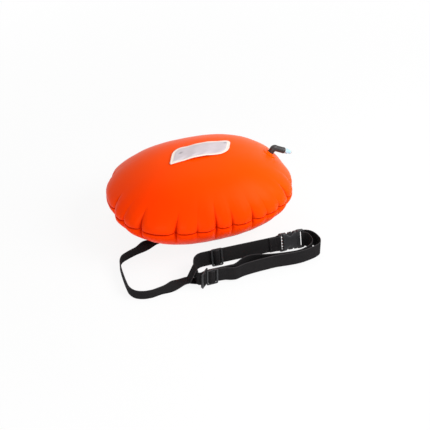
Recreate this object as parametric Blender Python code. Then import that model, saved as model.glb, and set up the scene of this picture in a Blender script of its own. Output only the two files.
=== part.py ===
# Open water swim buoy: an inflated float with a carry handle and an oral valve,
# on a webbing leash that ends in a loop round a waist belt with a side-release buckle.
# Metres, +Z up. The origin is on the floor under the middle of the float's belly.
# +X runs to the valve end, and the belt lies on the floor on the -Y side.

import math
import bpy
import bmesh
from mathutils import Matrix, Vector

# Float
float_length = 0.446
float_width = 0.333
float_height = 0.215
belly_flat_depth = 0.0005
skin_wall = 0.0008
seam_allowance = 0.007
crease_depth = 0.0046
crease_half_width = 0.0075

# Webbing and the gap that touching pieces keep
webbing_wall = 0.0016
belt_webbing = 0.038
leash_webbing = 0.025
seat_gap = 0.0003
loop_slack = 0.0007
lap_length = 0.0270
lap_point_shares = (1.0, 0.75, 0.52, 0.42)

# Belt as it lies: the two long strands and the bends at its ends
back_strand_y = -0.163
front_strand_y = -0.2250
left_bend_x = -0.0790
belt_lean = math.radians(15)
tail_end_x = 0.0135

# Tri-glide sliders
slider_height = 0.0445
slider_length = 0.0285
slider_wall = 0.0030
slider_side_bar = 0.0040
slider_centre_bar = 0.0048
slider_edge_bar = 0.0026
back_slider_x = -0.0120
front_slider_x = -0.0447
front_slider_turn = math.radians(2)
corner_slider_inset = 0.0200
corner_slider_turn = math.radians(48)

# Side-release buckle
socket_x = 0.1460
buckle_to_bend = 0.0915
socket_length = 0.0445
socket_height = 0.0460
socket_depth = 0.0112
socket_wall = 0.0018
socket_bar = 0.0042
socket_slot = 0.0068
strap_side_clearance = 0.0015
window_length = 0.0160
window_from_mouth = 0.0072
plug_base_length = 0.0197
plug_bar = 0.0046
plug_slot = 0.0062
tongue_length = 0.0260
tongue_height = 0.0080
tongue_depth = 0.0032
prong_length = 0.0232
prong_wall = 0.0028
prong_depth = 0.0056
prong_root_inset = 0.0052
pad_length = 0.0128
pad_height = 0.0042
buckle_round = 0.0016

# Carry handle
handle_length = 0.150
handle_width = 0.056
handle_wall = 0.0014
handle_rise = 0.0030
handle_dip_depth = 0.0055
handle_dip_length = 0.065
handle_dip_width = 0.050
handle_x = 0.0095
handle_y = 0.0090
handle_weld = 0.030
handle_slant = 0.010
handle_patch_margin = 0.006
patch_wall = 0.0010

# Oral valve
valve_from_end = 0.039
valve_y = 0.012
flange_radius = 0.0195
flange_wall = 0.0012
flange_boss_height = 0.0026
flange_boss_wall = 0.0030
tube_radius = 0.0075
tube_bore_radius = 0.0055
tube_below_skin = 0.0035
riser_length = 0.0100
bend_radius = 0.0088
bend_turn = math.radians(80)
upper_tube_length = 0.0225
sleeve_collar_radius = 0.0066
sleeve_collar_length = 0.0020
sleeve_inside_length = 0.0140
sleeve_spigot_length = 0.0108
sleeve_spigot_radius = 0.0042
sleeve_bore_radius = 0.0032
sleeve_guide_radius = 0.0021
sleeve_guide_length = 0.0025
nozzle_length = 0.0180
nozzle_base_radius = 0.0066
nozzle_tip_radius = 0.0041
nozzle_flute_depth = 0.0004
plunger_rod_radius = 0.0012
plunger_shoulder_radius = 0.0027
plunger_shoulder_length = 0.0014
plunger_button_radius = 0.0016
plunger_button_proud = 0.0032
plunger_head_radius = 0.0024
plunger_head_length = 0.0012
seal_radius = 0.0042
seal_wall = 0.0013
spring_wire_radius = 0.0003
spring_radius = 0.00265
spring_turns = 7

# Anchor under the float, and the leash
anchor_x = -0.095
anchor_y = -0.033
anchor_patch_radius = 0.026
anchor_tab_length = 0.042
anchor_tab_width = 0.012
anchor_loop_length = 0.022
anchor_loop_sink = 0.0062
leash_start_turn = math.radians(199.9)
leash_straight = 0.0075
leash_point_step = 0.003
loop_nose_radius = 0.0012
belt_loop_lap = 0.0155
belt_loop_y = -0.2085
belt_loop_lap_z = 0.0100

# Shares of a whole, and counts
outline_power_share = 2.5
section_power_share = 0.6
patch_ring_shares = (0.10, 0.32, 0.50, 0.68, 0.84, 1.0)
upper_ring_shares = (0.10, 0.22, 0.32, 0.42, 0.53, 0.70, 0.83, 0.92, 0.975, 1.0)
crease_turn_degrees_shares = (
    (-17.5, 0.8, 0.6), (-30, 1.0, 0.9), (-41, 0.5, 0.35), (-52, 0.35, 0.3), (-63, 0.9, 0.7),
    (-80, 0.7, 0.8), (-94, 1.0, 1.1), (-110, 0.4, 0.4), (-125.7, 1.0, 0.9), (-149, 0.9, 1.0),
    (-162, 0.5, 0.35), (-175, 0.9, 0.8),
    (155, 1.0, 0.7), (136, 0.8, 0.9), (117, 0.6, 0.5), (99, 1.0, 0.9), (78, 0.7, 0.7), (60, 0.9, 0.9),
    (43, 0.6, 0.5), (27, 0.9, 0.8), (14, 0.6, 0.3),
)
crease_run_share = 0.42
crease_lift_share = 0.35
crease_fade_share = 0.8
handle_fullness_share = 1.3
handle_pinch_share = 0.7
weave_slope_share = 0.4
lean_start_share = 0.55
lean_span_share = 0.30
angle_count = 30
round_sides = 16
curve_points = 24
half_turn_steps = 8
spring_sides_per_turn = 10

# Places in the belt, as shares of its length and width, and the leash's own route

left_bend_shares = (
    (0.125, 1.0), (0.095, 0.995), (0.066, 0.96), (0.038, 0.86), (0.018, 0.73), (0.004, 0.58),
    (0.0, 0.47), (0.0, 0.30), (0.0, 0.15), (0.0, 0.04),
)
front_corner_shares = (
    (0.0025, -0.003), (0.0079, -0.029), (0.0174, -0.047), (0.0284, -0.042), (0.0390, -0.022),
    (0.0490, -0.006),
    (0.0600, 0.0), (0.0900, 0.0), (0.1400, 0.0), (0.19, 0.0),
)
outer_strand_shares = (
    (0.172, -0.045), (0.2117, -0.065), (0.243, -0.125), (0.2875, -0.165), (0.344, -0.090), (0.414, -0.040),
    (0.475, -0.015), (0.537, 0.0), (0.616, 0.012), (0.698, -0.024), (0.780, -0.048), (0.834, -0.030),
    (0.897, 0.030), (0.9415, 0.095), (0.9826, 0.215), (1.0, 0.43), (0.9937, 0.68), (0.970, 0.90),
    (0.938, 1.02), (0.915, 1.055),
)
inner_strand_shares = (
    (0.9165, 0.925), (0.934, 0.83), (0.943, 0.66), (0.940, 0.46), (0.918, 0.275), (0.8815, 0.155),
    (0.834, 0.065), (0.780, 0.030), (0.698, 0.060), (0.616, 0.118), (0.537, 0.2097), (0.4866, 0.298),
    (0.439, 0.3355), (0.392, 0.306), (0.344, 0.2016), (0.306, 0.080),
)
leash_flat_length = 0.012
leash_twist_length = 0.065
leash_route = (
    (-0.1360, -0.0479, 0.0100), (-0.1600, -0.0590, 0.0128), (-0.1850, -0.0705, 0.0128),
    (-0.2080, -0.0800, 0.0128), (-0.2250, -0.0900, 0.0128), (-0.2340, -0.1070, 0.0128),
    (-0.2370, -0.1300, 0.0128), (-0.2385, -0.1550, 0.0128), (-0.2390, -0.1800, 0.0128),
    (-0.2375, -0.2030, 0.0128), (-0.2290, -0.2190, 0.0128), (-0.2130, -0.2280, 0.0128),
    (-0.1920, -0.2305, 0.0128), (-0.1710, -0.2270, 0.0128), (-0.1500, -0.2235, 0.0128),
    (-0.1310, -0.2170, 0.0120), (-0.1140, -0.2108, 0.0106),
)

half_length = float_length / 2
half_width = float_width / 2
half_height = float_height / 2
seam_z = half_height
strap_mid_z = (socket_height * math.cos(belt_lean) + socket_depth * math.sin(belt_lean)) / 2
layer_step = webbing_wall + seat_gap
right_bend_x = socket_x + buckle_to_bend


# General helpers

def clear_scene():
    for old in list(bpy.data.objects):
        bpy.data.objects.remove(old, do_unlink=True)


def make_material(name, color, roughness, metallic=0.0):
    material = bpy.data.materials.new(name)
    material.use_nodes = True
    shader = material.node_tree.nodes["Principled BSDF"]
    shader.inputs["Base Color"].default_value = (*color, 1.0)
    shader.inputs["Roughness"].default_value = roughness
    shader.inputs["Metallic"].default_value = metallic
    return material


def add_object(name, bm, material, matrix=None):
    bmesh.ops.recalc_face_normals(bm, faces=bm.faces)
    mesh = bpy.data.meshes.new(name)
    bm.to_mesh(mesh)
    bm.free()
    mesh.materials.append(material)
    mesh.shade_smooth()
    mesh.set_sharp_from_angle(angle=math.radians(40))
    obj = bpy.data.objects.new(name, mesh)
    bpy.context.scene.collection.objects.link(obj)
    if matrix is not None:
        obj.matrix_world = matrix
    return obj


def loft(bm, rings, closed=False):
    """Quads between rings of equally many points, with flat ends unless the rings close on themselves."""
    rows = [[bm.verts.new(point) for point in ring] for ring in rings]
    pairs = list(zip(rows, rows[1:]))
    if closed:
        pairs.append((rows[-1], rows[0]))
    for first, second in pairs:
        for i in range(len(first)):
            j = (i + 1) % len(first)
            bm.faces.new((first[i], first[j], second[j], second[i]))
    if not closed:
        bm.faces.new(rows[0])
        bm.faces.new(rows[-1])


def loft_object(name, rings, material, closed=False, matrix=None):
    bm = bmesh.new()
    loft(bm, rings, closed)
    return add_object(name, bm, material, matrix)


def block(name, low, high, material, matrix=None, rounding=0.0, axis=None):
    """A box between two corners, whose edges along one axis, or all of them, are rounded."""
    bm = bmesh.new()
    bmesh.ops.create_cube(bm, size=1.0)
    for vert in bm.verts:
        vert.co = Vector(
            (low[i] + high[i]) / 2 + vert.co[i] * (high[i] - low[i]) for i in range(3)
        )
    if rounding:
        edges = [
            edge for edge in bm.edges
            if axis is None or abs((edge.verts[0].co - edge.verts[1].co).normalized()[axis]) > 0.9
        ]
        bmesh.ops.bevel(bm, geom=edges, offset=rounding, segments=2, profile=0.5, affect="EDGES")
    return add_object(name, bm, material, matrix)


def cut(obj, cutter, operation="DIFFERENCE"):
    cutter.hide_render = True
    cutter.display_type = "WIRE"
    modifier = obj.modifiers.new(operation.title() + " " + cutter.name, "BOOLEAN")
    modifier.operation = operation
    modifier.object = cutter
    modifier.solver = "EXACT"


def circle_ring(centre, axis_u, axis_v, radius, sides=round_sides):
    return [
        centre + (axis_u * math.cos(turn) + axis_v * math.sin(turn)) * radius
        for turn in (2 * math.pi * i / sides for i in range(sides))
    ]


def turned(profile, frame, sides=round_sides, flute=0.0, fluted_rows=()):
    """Rings of a turned shape. The profile is a closed list of (place along the axis, radius)."""
    origin, axis, axis_u, axis_v = frame
    rings = []
    for row, (place, radius) in enumerate(profile):
        ring = []
        for i in range(sides):
            turn = 2 * math.pi * i / sides
            reach = radius - (flute if row in fluted_rows and i % 4 == 0 else 0.0)
            outward = axis_u * math.cos(turn) + axis_v * math.sin(turn)
            ring.append(origin + axis * place + outward * reach)
        rings.append(ring)
    return rings


def smooth_route(points, step):
    """Points at about equal steps along a smooth curve through the given ones."""
    points = [Vector(point) for point in points]
    ends = [2 * points[0] - points[1], *points, 2 * points[-1] - points[-2]]
    fine = []
    for before, start, end, after in zip(ends, ends[1:], ends[2:], ends[3:]):
        pairs = ((before, start), (start, end), (end, after))
        spans = [max((b - a).length, step * 0.01) ** 0.5 for a, b in pairs]
        steady = (end - start) / spans[1]
        leave = (start - before) / spans[0] - (end - before) / (spans[0] + spans[1]) + steady
        arrive = steady - (after - start) / (spans[1] + spans[2]) + (after - end) / spans[2]
        leave *= spans[1]
        arrive *= spans[1]
        for i in range(curve_points):
            t = i / curve_points
            fine.append(
                start * (2 * t**3 - 3 * t**2 + 1) + leave * (t**3 - 2 * t**2 + t)
                + end * (3 * t**2 - 2 * t**3) + arrive * (t**3 - t**2)
            )
    fine.append(points[-1])
    reach = [0.0]
    for a, b in zip(fine, fine[1:]):
        reach.append(reach[-1] + (b - a).length)
    count = max(round(reach[-1] / step), 2)
    route = []
    spot = 0
    for i in range(count + 1):
        wanted = reach[-1] * i / count
        while spot < len(fine) - 2 and reach[spot + 1] < wanted:
            spot += 1
        span = max(reach[spot + 1] - reach[spot], step * 1e-6)
        route.append(fine[spot].lerp(fine[spot + 1], min(max((wanted - reach[spot]) / span, 0), 1)))
    return route


def ribbon_rings(route, width, wall, across, closed=False):
    """Rectangular sections along a route; across(point) is the direction of the strap's width."""
    rings = []
    for i, point in enumerate(route):
        if closed:
            before, after = route[i - 1], route[(i + 1) % len(route)]
        else:
            before, after = route[max(i - 1, 0)], route[min(i + 1, len(route) - 1)]
        run = (after - before).normalized()
        side = across(i, point)
        out = run.cross(side).normalized()
        half_side, half_out = side * (width / 2), out * (wall / 2)
        rings.append([
            point - half_side - half_out, point + half_side - half_out,
            point + half_side + half_out, point - half_side + half_out,
        ])
    return rings


def band_around(pulleys, segments=half_turn_steps):
    """The 2-D points of a taut closed band round circles (x, y, radius), listed anticlockwise."""
    points = []
    count = len(pulleys)
    starts, ends = [0.0] * count, [0.0] * count
    for i in range(count):
        x0, y0, r0 = pulleys[i]
        x1, y1, r1 = pulleys[(i + 1) % count]
        heading = math.atan2(y1 - y0, x1 - x0)
        tilt = math.asin((r0 - r1) / math.hypot(x1 - x0, y1 - y0))
        leave = heading - math.pi / 2 + tilt
        ends[i] = leave
        starts[(i + 1) % count] = leave
    for (x, y, radius), start, end in zip(pulleys, starts, ends):
        while end < start:
            end += 2 * math.pi
        for k in range(segments + 1):
            turn = start + (end - start) * k / segments
            points.append((x + radius * math.cos(turn), y + radius * math.sin(turn)))
    return points


# The float's surface

def outline_reach(turn):
    """Distance from the middle to the plan outline, in the direction turn."""
    power = outline_power_share
    share_x, share_y = abs(math.cos(turn) / half_length), abs(math.sin(turn) / half_width)
    return (share_x**power + share_y**power) ** (-1 / power)


def handle_dip(x, y, sign):
    """How far the taut handle holds the upper skin down."""
    if sign < 0:
        return 0.0
    away = ((x - handle_x) / handle_dip_length) ** 2 + ((y - handle_y) / handle_dip_width) ** 2
    return handle_dip_depth * math.exp(-away)


def skin_rise(x, y, sign):
    """How far the upper skin (sign 1) or the lower one (sign -1) stands off the seam, creases left out."""
    power = outline_power_share
    share = (abs(x / half_length) ** power + abs(y / half_width) ** power) ** (1 / power)
    crown = half_height + (belly_flat_depth if sign < 0 else 0.0)
    return crown * max(1 - share**2, 0) ** section_power_share - handle_dip(x, y, sign)


def skin_normal(x, y, sign):
    """Outward normal of the upper skin (sign 1) or the lower one (sign -1)."""
    step = half_length * 1e-4
    slope_x = (skin_rise(x + step, y, sign) - skin_rise(x - step, y, sign)) / (2 * step)
    slope_y = (skin_rise(x, y + step, sign) - skin_rise(x, y - step, sign)) / (2 * step)
    return Vector((-slope_x, -slope_y, sign)).normalized()


def skin_point(x, y, sign):
    return Vector((x, y, seam_z + sign * skin_rise(x, y, sign)))


def onto_skin(point, direction, sign):
    """Moves a point along a direction until it meets the skin."""
    point = point.copy()
    for _ in range(8):
        miss = point.z - (seam_z + sign * skin_rise(point.x, point.y, sign))
        normal = skin_normal(point.x, point.y, sign)
        point -= direction * (miss * normal.z / normal.dot(direction))
    return point


def panel_turns():
    """Directions of the panel's ribs: three at each crease, and even ones between."""
    creases = []
    for degrees, depth_share, run_share in crease_turn_degrees_shares:
        turn = math.radians(degrees) % (2 * math.pi)
        creases.append((turn, crease_half_width / outline_reach(turn), depth_share, run_share))
    turns = []
    for turn, half, _, _ in creases:
        turns += [turn - half, turn, turn + half]
    for i in range(angle_count):
        even = 2 * math.pi * i / angle_count
        nearest = min(abs((even - turn + math.pi) % (2 * math.pi) - math.pi) for turn in turns)
        if nearest > math.pi / angle_count * 0.55:
            turns.append(even)
    return sorted(turn % (2 * math.pi) for turn in turns), creases


def crease_at(turn, share, creases):
    """How far the skin is drawn in at this direction and share of the outline."""
    drawn = 0.0
    for at, half, depth_share, run_share in creases:
        away = abs((turn - at + math.pi) % (2 * math.pi) - math.pi) / half
        start = 1 - crease_run_share * run_share
        fade = max((share - start) / (1 - start), 0.0)
        drawn = max(drawn, crease_depth * depth_share * max(1 - away, 0.0) * fade**crease_fade_share)
    return drawn


def panel(name, sign, material):
    """One skin: the crowned sheet down to the seam, and its welded edge turned in."""
    turns, creases = panel_turns()
    edge = seat_gap / 2
    rise = half_height - edge + (belly_flat_depth if sign < 0 else 0.0)
    limit = half_height - edge
    shares = list(upper_ring_shares)
    if sign < 0:
        shares[0] = math.sqrt(1 - (limit / rise) ** (1 / section_power_share))
    rows = []
    for share in shares:
        row = []
        for turn in turns:
            drawn = crease_at(turn, share, creases)
            reach = outline_reach(turn) * share - drawn
            lift = min(rise * max(1 - share**2, 0.0) ** section_power_share, limit)
            lift -= drawn * (crease_lift_share if share < 1 else 0.0)
            x, y = reach * math.cos(turn), reach * math.sin(turn)
            lift -= handle_dip(x, y, sign) * (1 if share < 1 else 0)
            row.append(Vector((x, y, seam_z + sign * (edge + lift))))
        rows.append(row)
    inner = []
    for turn in turns:
        reach = outline_reach(turn) - crease_at(turn, 1.0, creases) - seam_allowance
        inner.append(Vector((reach * math.cos(turn), reach * math.sin(turn), seam_z + sign * edge)))
    rows.append(inner)
    bm = bmesh.new()
    verts = [[bm.verts.new(point) for point in row] for row in rows]
    for first, second in zip(verts, verts[1:]):
        for i in range(len(turns)):
            j = (i + 1) % len(turns)
            bm.faces.new((first[i], first[j], second[j], second[i]))
    bm.faces.new(verts[0])
    bmesh.ops.recalc_face_normals(bm, faces=bm.faces)
    bm.faces.ensure_lookup_table()
    if bm.faces[-1].normal.z * sign < 0:
        bmesh.ops.reverse_faces(bm, faces=bm.faces)
    mesh = bpy.data.meshes.new(name)
    bm.to_mesh(mesh)
    bm.free()
    mesh.materials.append(material)
    mesh.shade_smooth()
    obj = bpy.data.objects.new(name, mesh)
    bpy.context.scene.collection.objects.link(obj)
    wall = obj.modifiers.new("Skin wall", "SOLIDIFY")
    wall.thickness = skin_wall
    wall.offset = -1.0
    wall.use_even_offset = True
    return obj


def skin_frame(x, y, sign, heading):
    """Point on the skin, outward normal, and the heading laid on the skin with the direction across it."""
    normal = skin_normal(x, y, sign)
    along = (heading - normal * heading.dot(normal)).normalized()
    return skin_point(x, y, sign), normal, along, normal.cross(along)


def draped(frame, sign, along, across, off):
    """A point that follows the skin at a height off it."""
    origin, normal, axis_u, axis_v = frame
    return onto_skin(origin + axis_u * along + axis_v * across, normal, sign) + normal * off


def draped_patch(name, frame, sign, outline, wall, material):
    """A patch whose outline is a list of (along, across), lying on the skin."""
    rings = []
    for off, shares in ((seat_gap, patch_ring_shares), (seat_gap + wall, patch_ring_shares[::-1])):
        for share in shares:
            rings.append([draped(frame, sign, u * share, v * share, off) for u, v in outline])
    return loft_object(name, rings, material)


def rounded_outline(length, width, corner, slant=0.0, per_corner=4, per_side=6):
    """A rounded parallelogram: its far side (+Y) leans towards +X, and its long sides have points too."""
    points = []
    for side_x, side_y, start in ((1, 1, 0.0), (-1, 1, 0.5), (-1, -1, 1.0), (1, -1, 1.5)):
        for i in range(per_corner):
            turn = math.pi * (start + 0.5 * i / (per_corner - 1))
            x = side_x * (length / 2 - corner) + corner * math.cos(turn)
            y = side_y * (width / 2 - corner) + corner * math.sin(turn)
            points.append((x + slant * 2 * y / width, y))
        if side_x == side_y:
            run = length - 2 * corner
            for i in range(1, per_side):
                x, y = side_x * (run / 2 - run * i / per_side), side_y * width / 2
                points.append((x + slant * 2 * y / width, y))
    return points


# Float pieces

def build_float(orange):
    upper = panel("upper_panel", 1, orange)
    panel("lower_panel", -1, orange)
    return upper


def build_handle(orange, vinyl):
    frame = skin_frame(handle_x, handle_y, 1, Vector((1, 0, 0)))
    patch_width = handle_width - 2 * handle_patch_margin
    outline = rounded_outline(handle_length, patch_width, patch_width / 3, handle_slant)
    draped_patch("handle_patch", frame, 1, outline, patch_wall, orange)

    foot = 2 * seat_gap + patch_wall
    corner = handle_width * 0.3
    free_half = handle_length / 2 - handle_weld
    rings = []
    steps, spans = 26, 6
    for i in range(steps + 1):
        along = handle_length * (i / steps - 0.5)
        past = max(abs(along) - (handle_length / 2 - corner), 0.0)
        half = handle_width / 2 - corner + math.sqrt(max(corner**2 - past**2, 0.0))
        arch = max(1 - abs(along) / free_half, 0.0)
        bump = math.sin(math.pi / 2 * min(arch * handle_fullness_share, 1.0)) ** 2
        rows = []
        for wall in (0.0, handle_wall):
            row = []
            for k in range(spans + 1):
                across = half * (2 * k / spans - 1)
                shift = handle_slant * 2 * across / handle_width
                narrowed = across * (1 - handle_pinch_share * bump)
                flat = draped(frame, 1, along + shift, narrowed, foot + wall)
                spread = frame[3] * (across * handle_pinch_share * bump)
                row.append(flat + spread + Vector((0, 0, handle_rise * bump)))
            rows.append(row)
        rings.append(rows[0] + rows[1][::-1])
    loft_object("carry_handle", rings, vinyl)


# Valve

def build_valve(upper, orange, rubber, pale_blue, grey, steel):
    frame = skin_frame(half_length - valve_from_end, valve_y, 1, Vector((1, 0, 0)))
    origin, normal, out, across = frame
    hole = tube_radius + seat_gap

    rings = []
    flange_top = seat_gap + flange_wall
    boss_top = flange_top + flange_boss_height
    for radius, off in (
        (flange_radius, seat_gap), (flange_radius * 0.7, seat_gap), (hole, seat_gap), (hole, boss_top),
        (hole + flange_boss_wall * 0.5, boss_top), (hole + flange_boss_wall, flange_top),
        (flange_radius * 0.85, flange_top), (flange_radius, flange_top - flange_wall / 2),
    ):
        rings.append([
            draped(frame, 1, radius * math.cos(turn), radius * math.sin(turn), off)
            for turn in (2 * math.pi * i / 24 for i in range(24))
        ])
    loft_object("valve_flange", rings, orange, closed=True)

    cutter_bm = bmesh.new()
    reach = tube_below_skin + flange_radius
    loft(cutter_bm, [circle_ring(origin + normal * off, out, across, hole) for off in (-reach, reach)])
    cut(upper, add_object("valve_hole", cutter_bm, orange))

    centres = [(origin - normal * tube_below_skin, normal), (origin + normal * riser_length, normal)]
    bend_steps = 7
    for i in range(1, bend_steps + 1):
        turn = bend_turn * i / bend_steps
        place = origin + normal * (riser_length + bend_radius * math.sin(turn))
        place += out * bend_radius * (1 - math.cos(turn))
        centres.append((place, normal * math.cos(turn) + out * math.sin(turn)))
    axis = centres[-1][1]
    end = centres[-1][0] + axis * upper_tube_length
    centres.append((end, axis))
    rings = []
    for radius, order in ((tube_radius, centres), (tube_bore_radius, centres[::-1])):
        for place, heading in order:
            rings.append(circle_ring(place, heading.cross(across), across, radius))
    loft_object("valve_tube", rings, rubber, closed=True)

    side = axis.cross(across)
    turned_frame = (end, axis, side, across)
    inner_end = -sleeve_inside_length
    collar = seat_gap
    shoulder = collar + sleeve_collar_length
    spigot_end = shoulder + sleeve_spigot_length
    sleeve_radius = tube_bore_radius - seat_gap
    profile = (
        (inner_end, sleeve_guide_radius), (inner_end, sleeve_radius), (collar, sleeve_radius),
        (collar, sleeve_collar_radius), (shoulder, sleeve_collar_radius), (shoulder, sleeve_spigot_radius),
        (spigot_end, sleeve_spigot_radius), (spigot_end, sleeve_bore_radius),
        (inner_end + sleeve_guide_length, sleeve_bore_radius),
        (inner_end + sleeve_guide_length, sleeve_guide_radius),
    )
    loft_object("valve_insert", turned(profile, turned_frame), grey, closed=True)

    base = shoulder + seat_gap
    tip = base + nozzle_length
    bore = sleeve_spigot_radius + seat_gap
    inner_floor = spigot_end + 2 * seat_gap
    button_hole = plunger_button_radius + seat_gap
    neck = base + nozzle_length * 0.45
    profile = (
        (base, bore), (base, nozzle_base_radius - seat_gap), (base + 2 * seat_gap, nozzle_base_radius),
        (base + nozzle_length * 0.36, nozzle_base_radius), (neck, nozzle_tip_radius * 1.28),
        (tip - nozzle_length * 0.12, nozzle_tip_radius * 1.05),
        (tip - nozzle_length * 0.06, nozzle_tip_radius), (tip, nozzle_tip_radius * 0.8),
        (tip, button_hole), (inner_floor, button_hole), (inner_floor, bore),
    )
    rings = turned(profile, turned_frame, 24, nozzle_flute_depth, (2, 3))
    nozzle_bm = bmesh.new()
    loft(nozzle_bm, rings, closed=True)
    moving_piece("valve_nozzle", nozzle_bm, pale_blue, end)

    seal_front = inner_end - seat_gap
    head_front = seal_front - seal_wall - seat_gap
    head_back = head_front - plunger_head_length
    shoulder_front = spigot_end - sleeve_spigot_length * 0.24
    shoulder_back = shoulder_front - plunger_shoulder_length
    button = tip + plunger_button_proud
    profile = (
        (head_back, plunger_head_radius), (head_front, plunger_head_radius),
        (head_front, plunger_rod_radius),
        (shoulder_back, plunger_rod_radius), (shoulder_back, plunger_shoulder_radius),
        (shoulder_front, plunger_shoulder_radius), (shoulder_front, plunger_button_radius),
        (button - seat_gap, plunger_button_radius), (button, plunger_button_radius - seat_gap),
    )
    plunger_bm = bmesh.new()
    loft(plunger_bm, turned(profile, turned_frame))
    moving_piece("valve_plunger", plunger_bm, grey, end)

    profile = (
        (seal_front, plunger_rod_radius + seat_gap),
        (seal_front - seal_wall, plunger_rod_radius + seat_gap),
        (seal_front - seal_wall, seal_radius - seat_gap), (seal_front - seal_wall / 2, seal_radius),
        (seal_front, seal_radius),
    )
    seal_bm = bmesh.new()
    loft(seal_bm, turned(profile, turned_frame), closed=True)
    moving_piece("valve_seal", seal_bm, rubber, end)

    spring_start = inner_end + sleeve_guide_length + seat_gap + spring_wire_radius
    spring_end = shoulder_back - seat_gap - spring_wire_radius
    curve = bpy.data.curves.new("valve_spring", "CURVE")
    curve.dimensions = "3D"
    curve.bevel_depth = spring_wire_radius
    curve.bevel_resolution = 0
    curve.use_fill_caps = True
    spline = curve.splines.new("POLY")
    count = spring_turns * spring_sides_per_turn
    spline.points.add(count)
    for i in range(count + 1):
        turn = 2 * math.pi * i / spring_sides_per_turn
        place = end + axis * (spring_start + (spring_end - spring_start) * i / count)
        place += (side * math.cos(turn) + across * math.sin(turn)) * spring_radius
        spline.points[i].co = (*place, 1.0)
    curve.materials.append(steel)
    bpy.context.scene.collection.objects.link(bpy.data.objects.new("valve_spring", curve))
    print("valve axis point", tuple(end), "axis", tuple(axis))


def moving_piece(name, bm, material, pivot):
    """An object whose origin is on its joint."""
    bmesh.ops.translate(bm, verts=bm.verts, vec=-pivot)
    return add_object(name, bm, material, Matrix.Translation(pivot))


# Leash and its anchor

def build_leash(orange, webbing):
    heading = Vector((math.cos(leash_start_turn), math.sin(leash_start_turn), 0))
    frame = skin_frame(anchor_x, anchor_y, -1, heading)
    origin, normal, along, across = frame
    outline = [
        (anchor_patch_radius * math.cos(turn), anchor_patch_radius * math.sin(turn))
        for turn in (2 * math.pi * i / 20 for i in range(20))
    ]
    draped_patch("anchor_patch", frame, -1, outline, patch_wall, orange)

    patch_face = seat_gap + patch_wall
    foot = patch_face + seat_gap + webbing_wall / 2
    loop_radius = webbing_wall + loop_slack
    bridge = patch_face + seat_gap + webbing_wall / 2 + loop_radius
    leg = leash_webbing / 2 + seat_gap + webbing_wall
    tab_half = anchor_tab_length / 2
    path = (
        (-tab_half, foot), (-(tab_half + leg) / 2 - seat_gap, foot), (-leg - seat_gap, foot + seat_gap),
        (-leg + seat_gap, bridge - seat_gap), (-leg * 0.85, bridge), (0, bridge),
        (leg * 0.85, bridge), (leg - seat_gap, bridge - seat_gap), (leg + seat_gap, foot + seat_gap),
        ((tab_half + leg) / 2 + seat_gap, foot), (tab_half, foot),
    )
    route = [draped(frame, -1, 0.0, v, off) for v, off in path]
    rings = ribbon_rings(route, anchor_tab_width, webbing_wall, lambda i, point: along)
    loft_object("anchor_tab", rings, webbing)

    bar_half = anchor_tab_width / 2 - webbing_wall / 2
    pulleys = (
        (-bar_half, bridge, loop_radius), (bar_half, bridge, loop_radius),
        (anchor_loop_length, bridge + anchor_loop_sink, loop_nose_radius),
    )
    band = [origin + along * u + normal * off for u, off in band_around(pulleys)]
    rings = ribbon_rings(band, leash_webbing, webbing_wall, lambda i, point: across, closed=True)
    loft_object("leash_anchor_loop", rings, webbing, closed=True)
    nose = origin + along * anchor_loop_length + normal * (bridge + anchor_loop_sink)
    level = Vector((along.x, along.y, 0)).normalized()
    first = nose + level * (loop_nose_radius + webbing_wall / 2 + 2 * seat_gap)

    edge_low = strap_mid_z - belt_webbing / 2 + webbing_wall / 2
    edge_high = strap_mid_z + belt_webbing / 2 - webbing_wall / 2
    lap_x = left_bend_x - belt_loop_lap
    pulleys = (
        (left_bend_x, edge_low, loop_radius), (left_bend_x, edge_high, loop_radius),
        (lap_x, belt_loop_lap_z, loop_nose_radius),
    )
    band = [Vector((x, belt_loop_y, z)) for x, z in band_around(pulleys)]
    level_across = Vector((0, 1, 0))
    rings = ribbon_rings(band, leash_webbing, webbing_wall, lambda i, point: level_across, closed=True)
    loft_object("leash_belt_loop", rings, webbing, closed=True)
    nose_x = lap_x - loop_nose_radius - webbing_wall / 2
    last = Vector((nose_x - 2 * seat_gap, belt_loop_y, belt_loop_lap_z))

    points = [first, first + level * leash_straight, *(Vector(point) for point in leash_route)]
    points += [last - Vector((leash_straight, 0, 0)), last]
    route = smooth_route(points, leash_point_step)
    run = [0.0]
    for a, b in zip(route, route[1:]):
        run.append(run[-1] + (b - a).length)
    for i, point in enumerate(route):
        stand = leash_stand(run[i], run[-1])
        reach = (leash_webbing * math.sin(stand) + webbing_wall * math.cos(stand)) / 2
        point.z = max(point.z, reach + seat_gap)

    def across_leash(i, point):
        before, after = route[max(i - 1, 0)], route[min(i + 1, len(route) - 1)]
        heading = (after - before).normalized()
        level_side = Vector((-heading.y, heading.x, 0)).normalized()
        up = heading.cross(level_side).normalized() * -1
        if up.z < 0:
            up = -up
        stand = leash_stand(run[i], run[-1])
        if run[i] < run[-1] / 2:
            level_side = -level_side
        return (level_side * math.cos(stand) + up * math.sin(stand)).normalized()

    loft_object("leash", ribbon_rings(route, leash_webbing, webbing_wall, across_leash), webbing)


def leash_stand(done, total):
    """How far the leash stands on its edge: zero where it lies flat at its sewn ends."""
    share = min(max((done - leash_flat_length) / leash_twist_length, 0), 1)
    share *= min(max((total - done - leash_flat_length) / leash_twist_length, 0), 1)
    return math.pi / 2 * share * share * (3 - 2 * share)


# Belt

def belt_place(x_share, y_share):
    """A place in the lying belt, by its length from the left bend and its width from the front strand."""
    x = left_bend_x + (right_bend_x - left_bend_x) * x_share
    y = front_strand_y + (back_strand_y - front_strand_y) * y_share
    return Vector((x, y, strap_mid_z))


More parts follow.
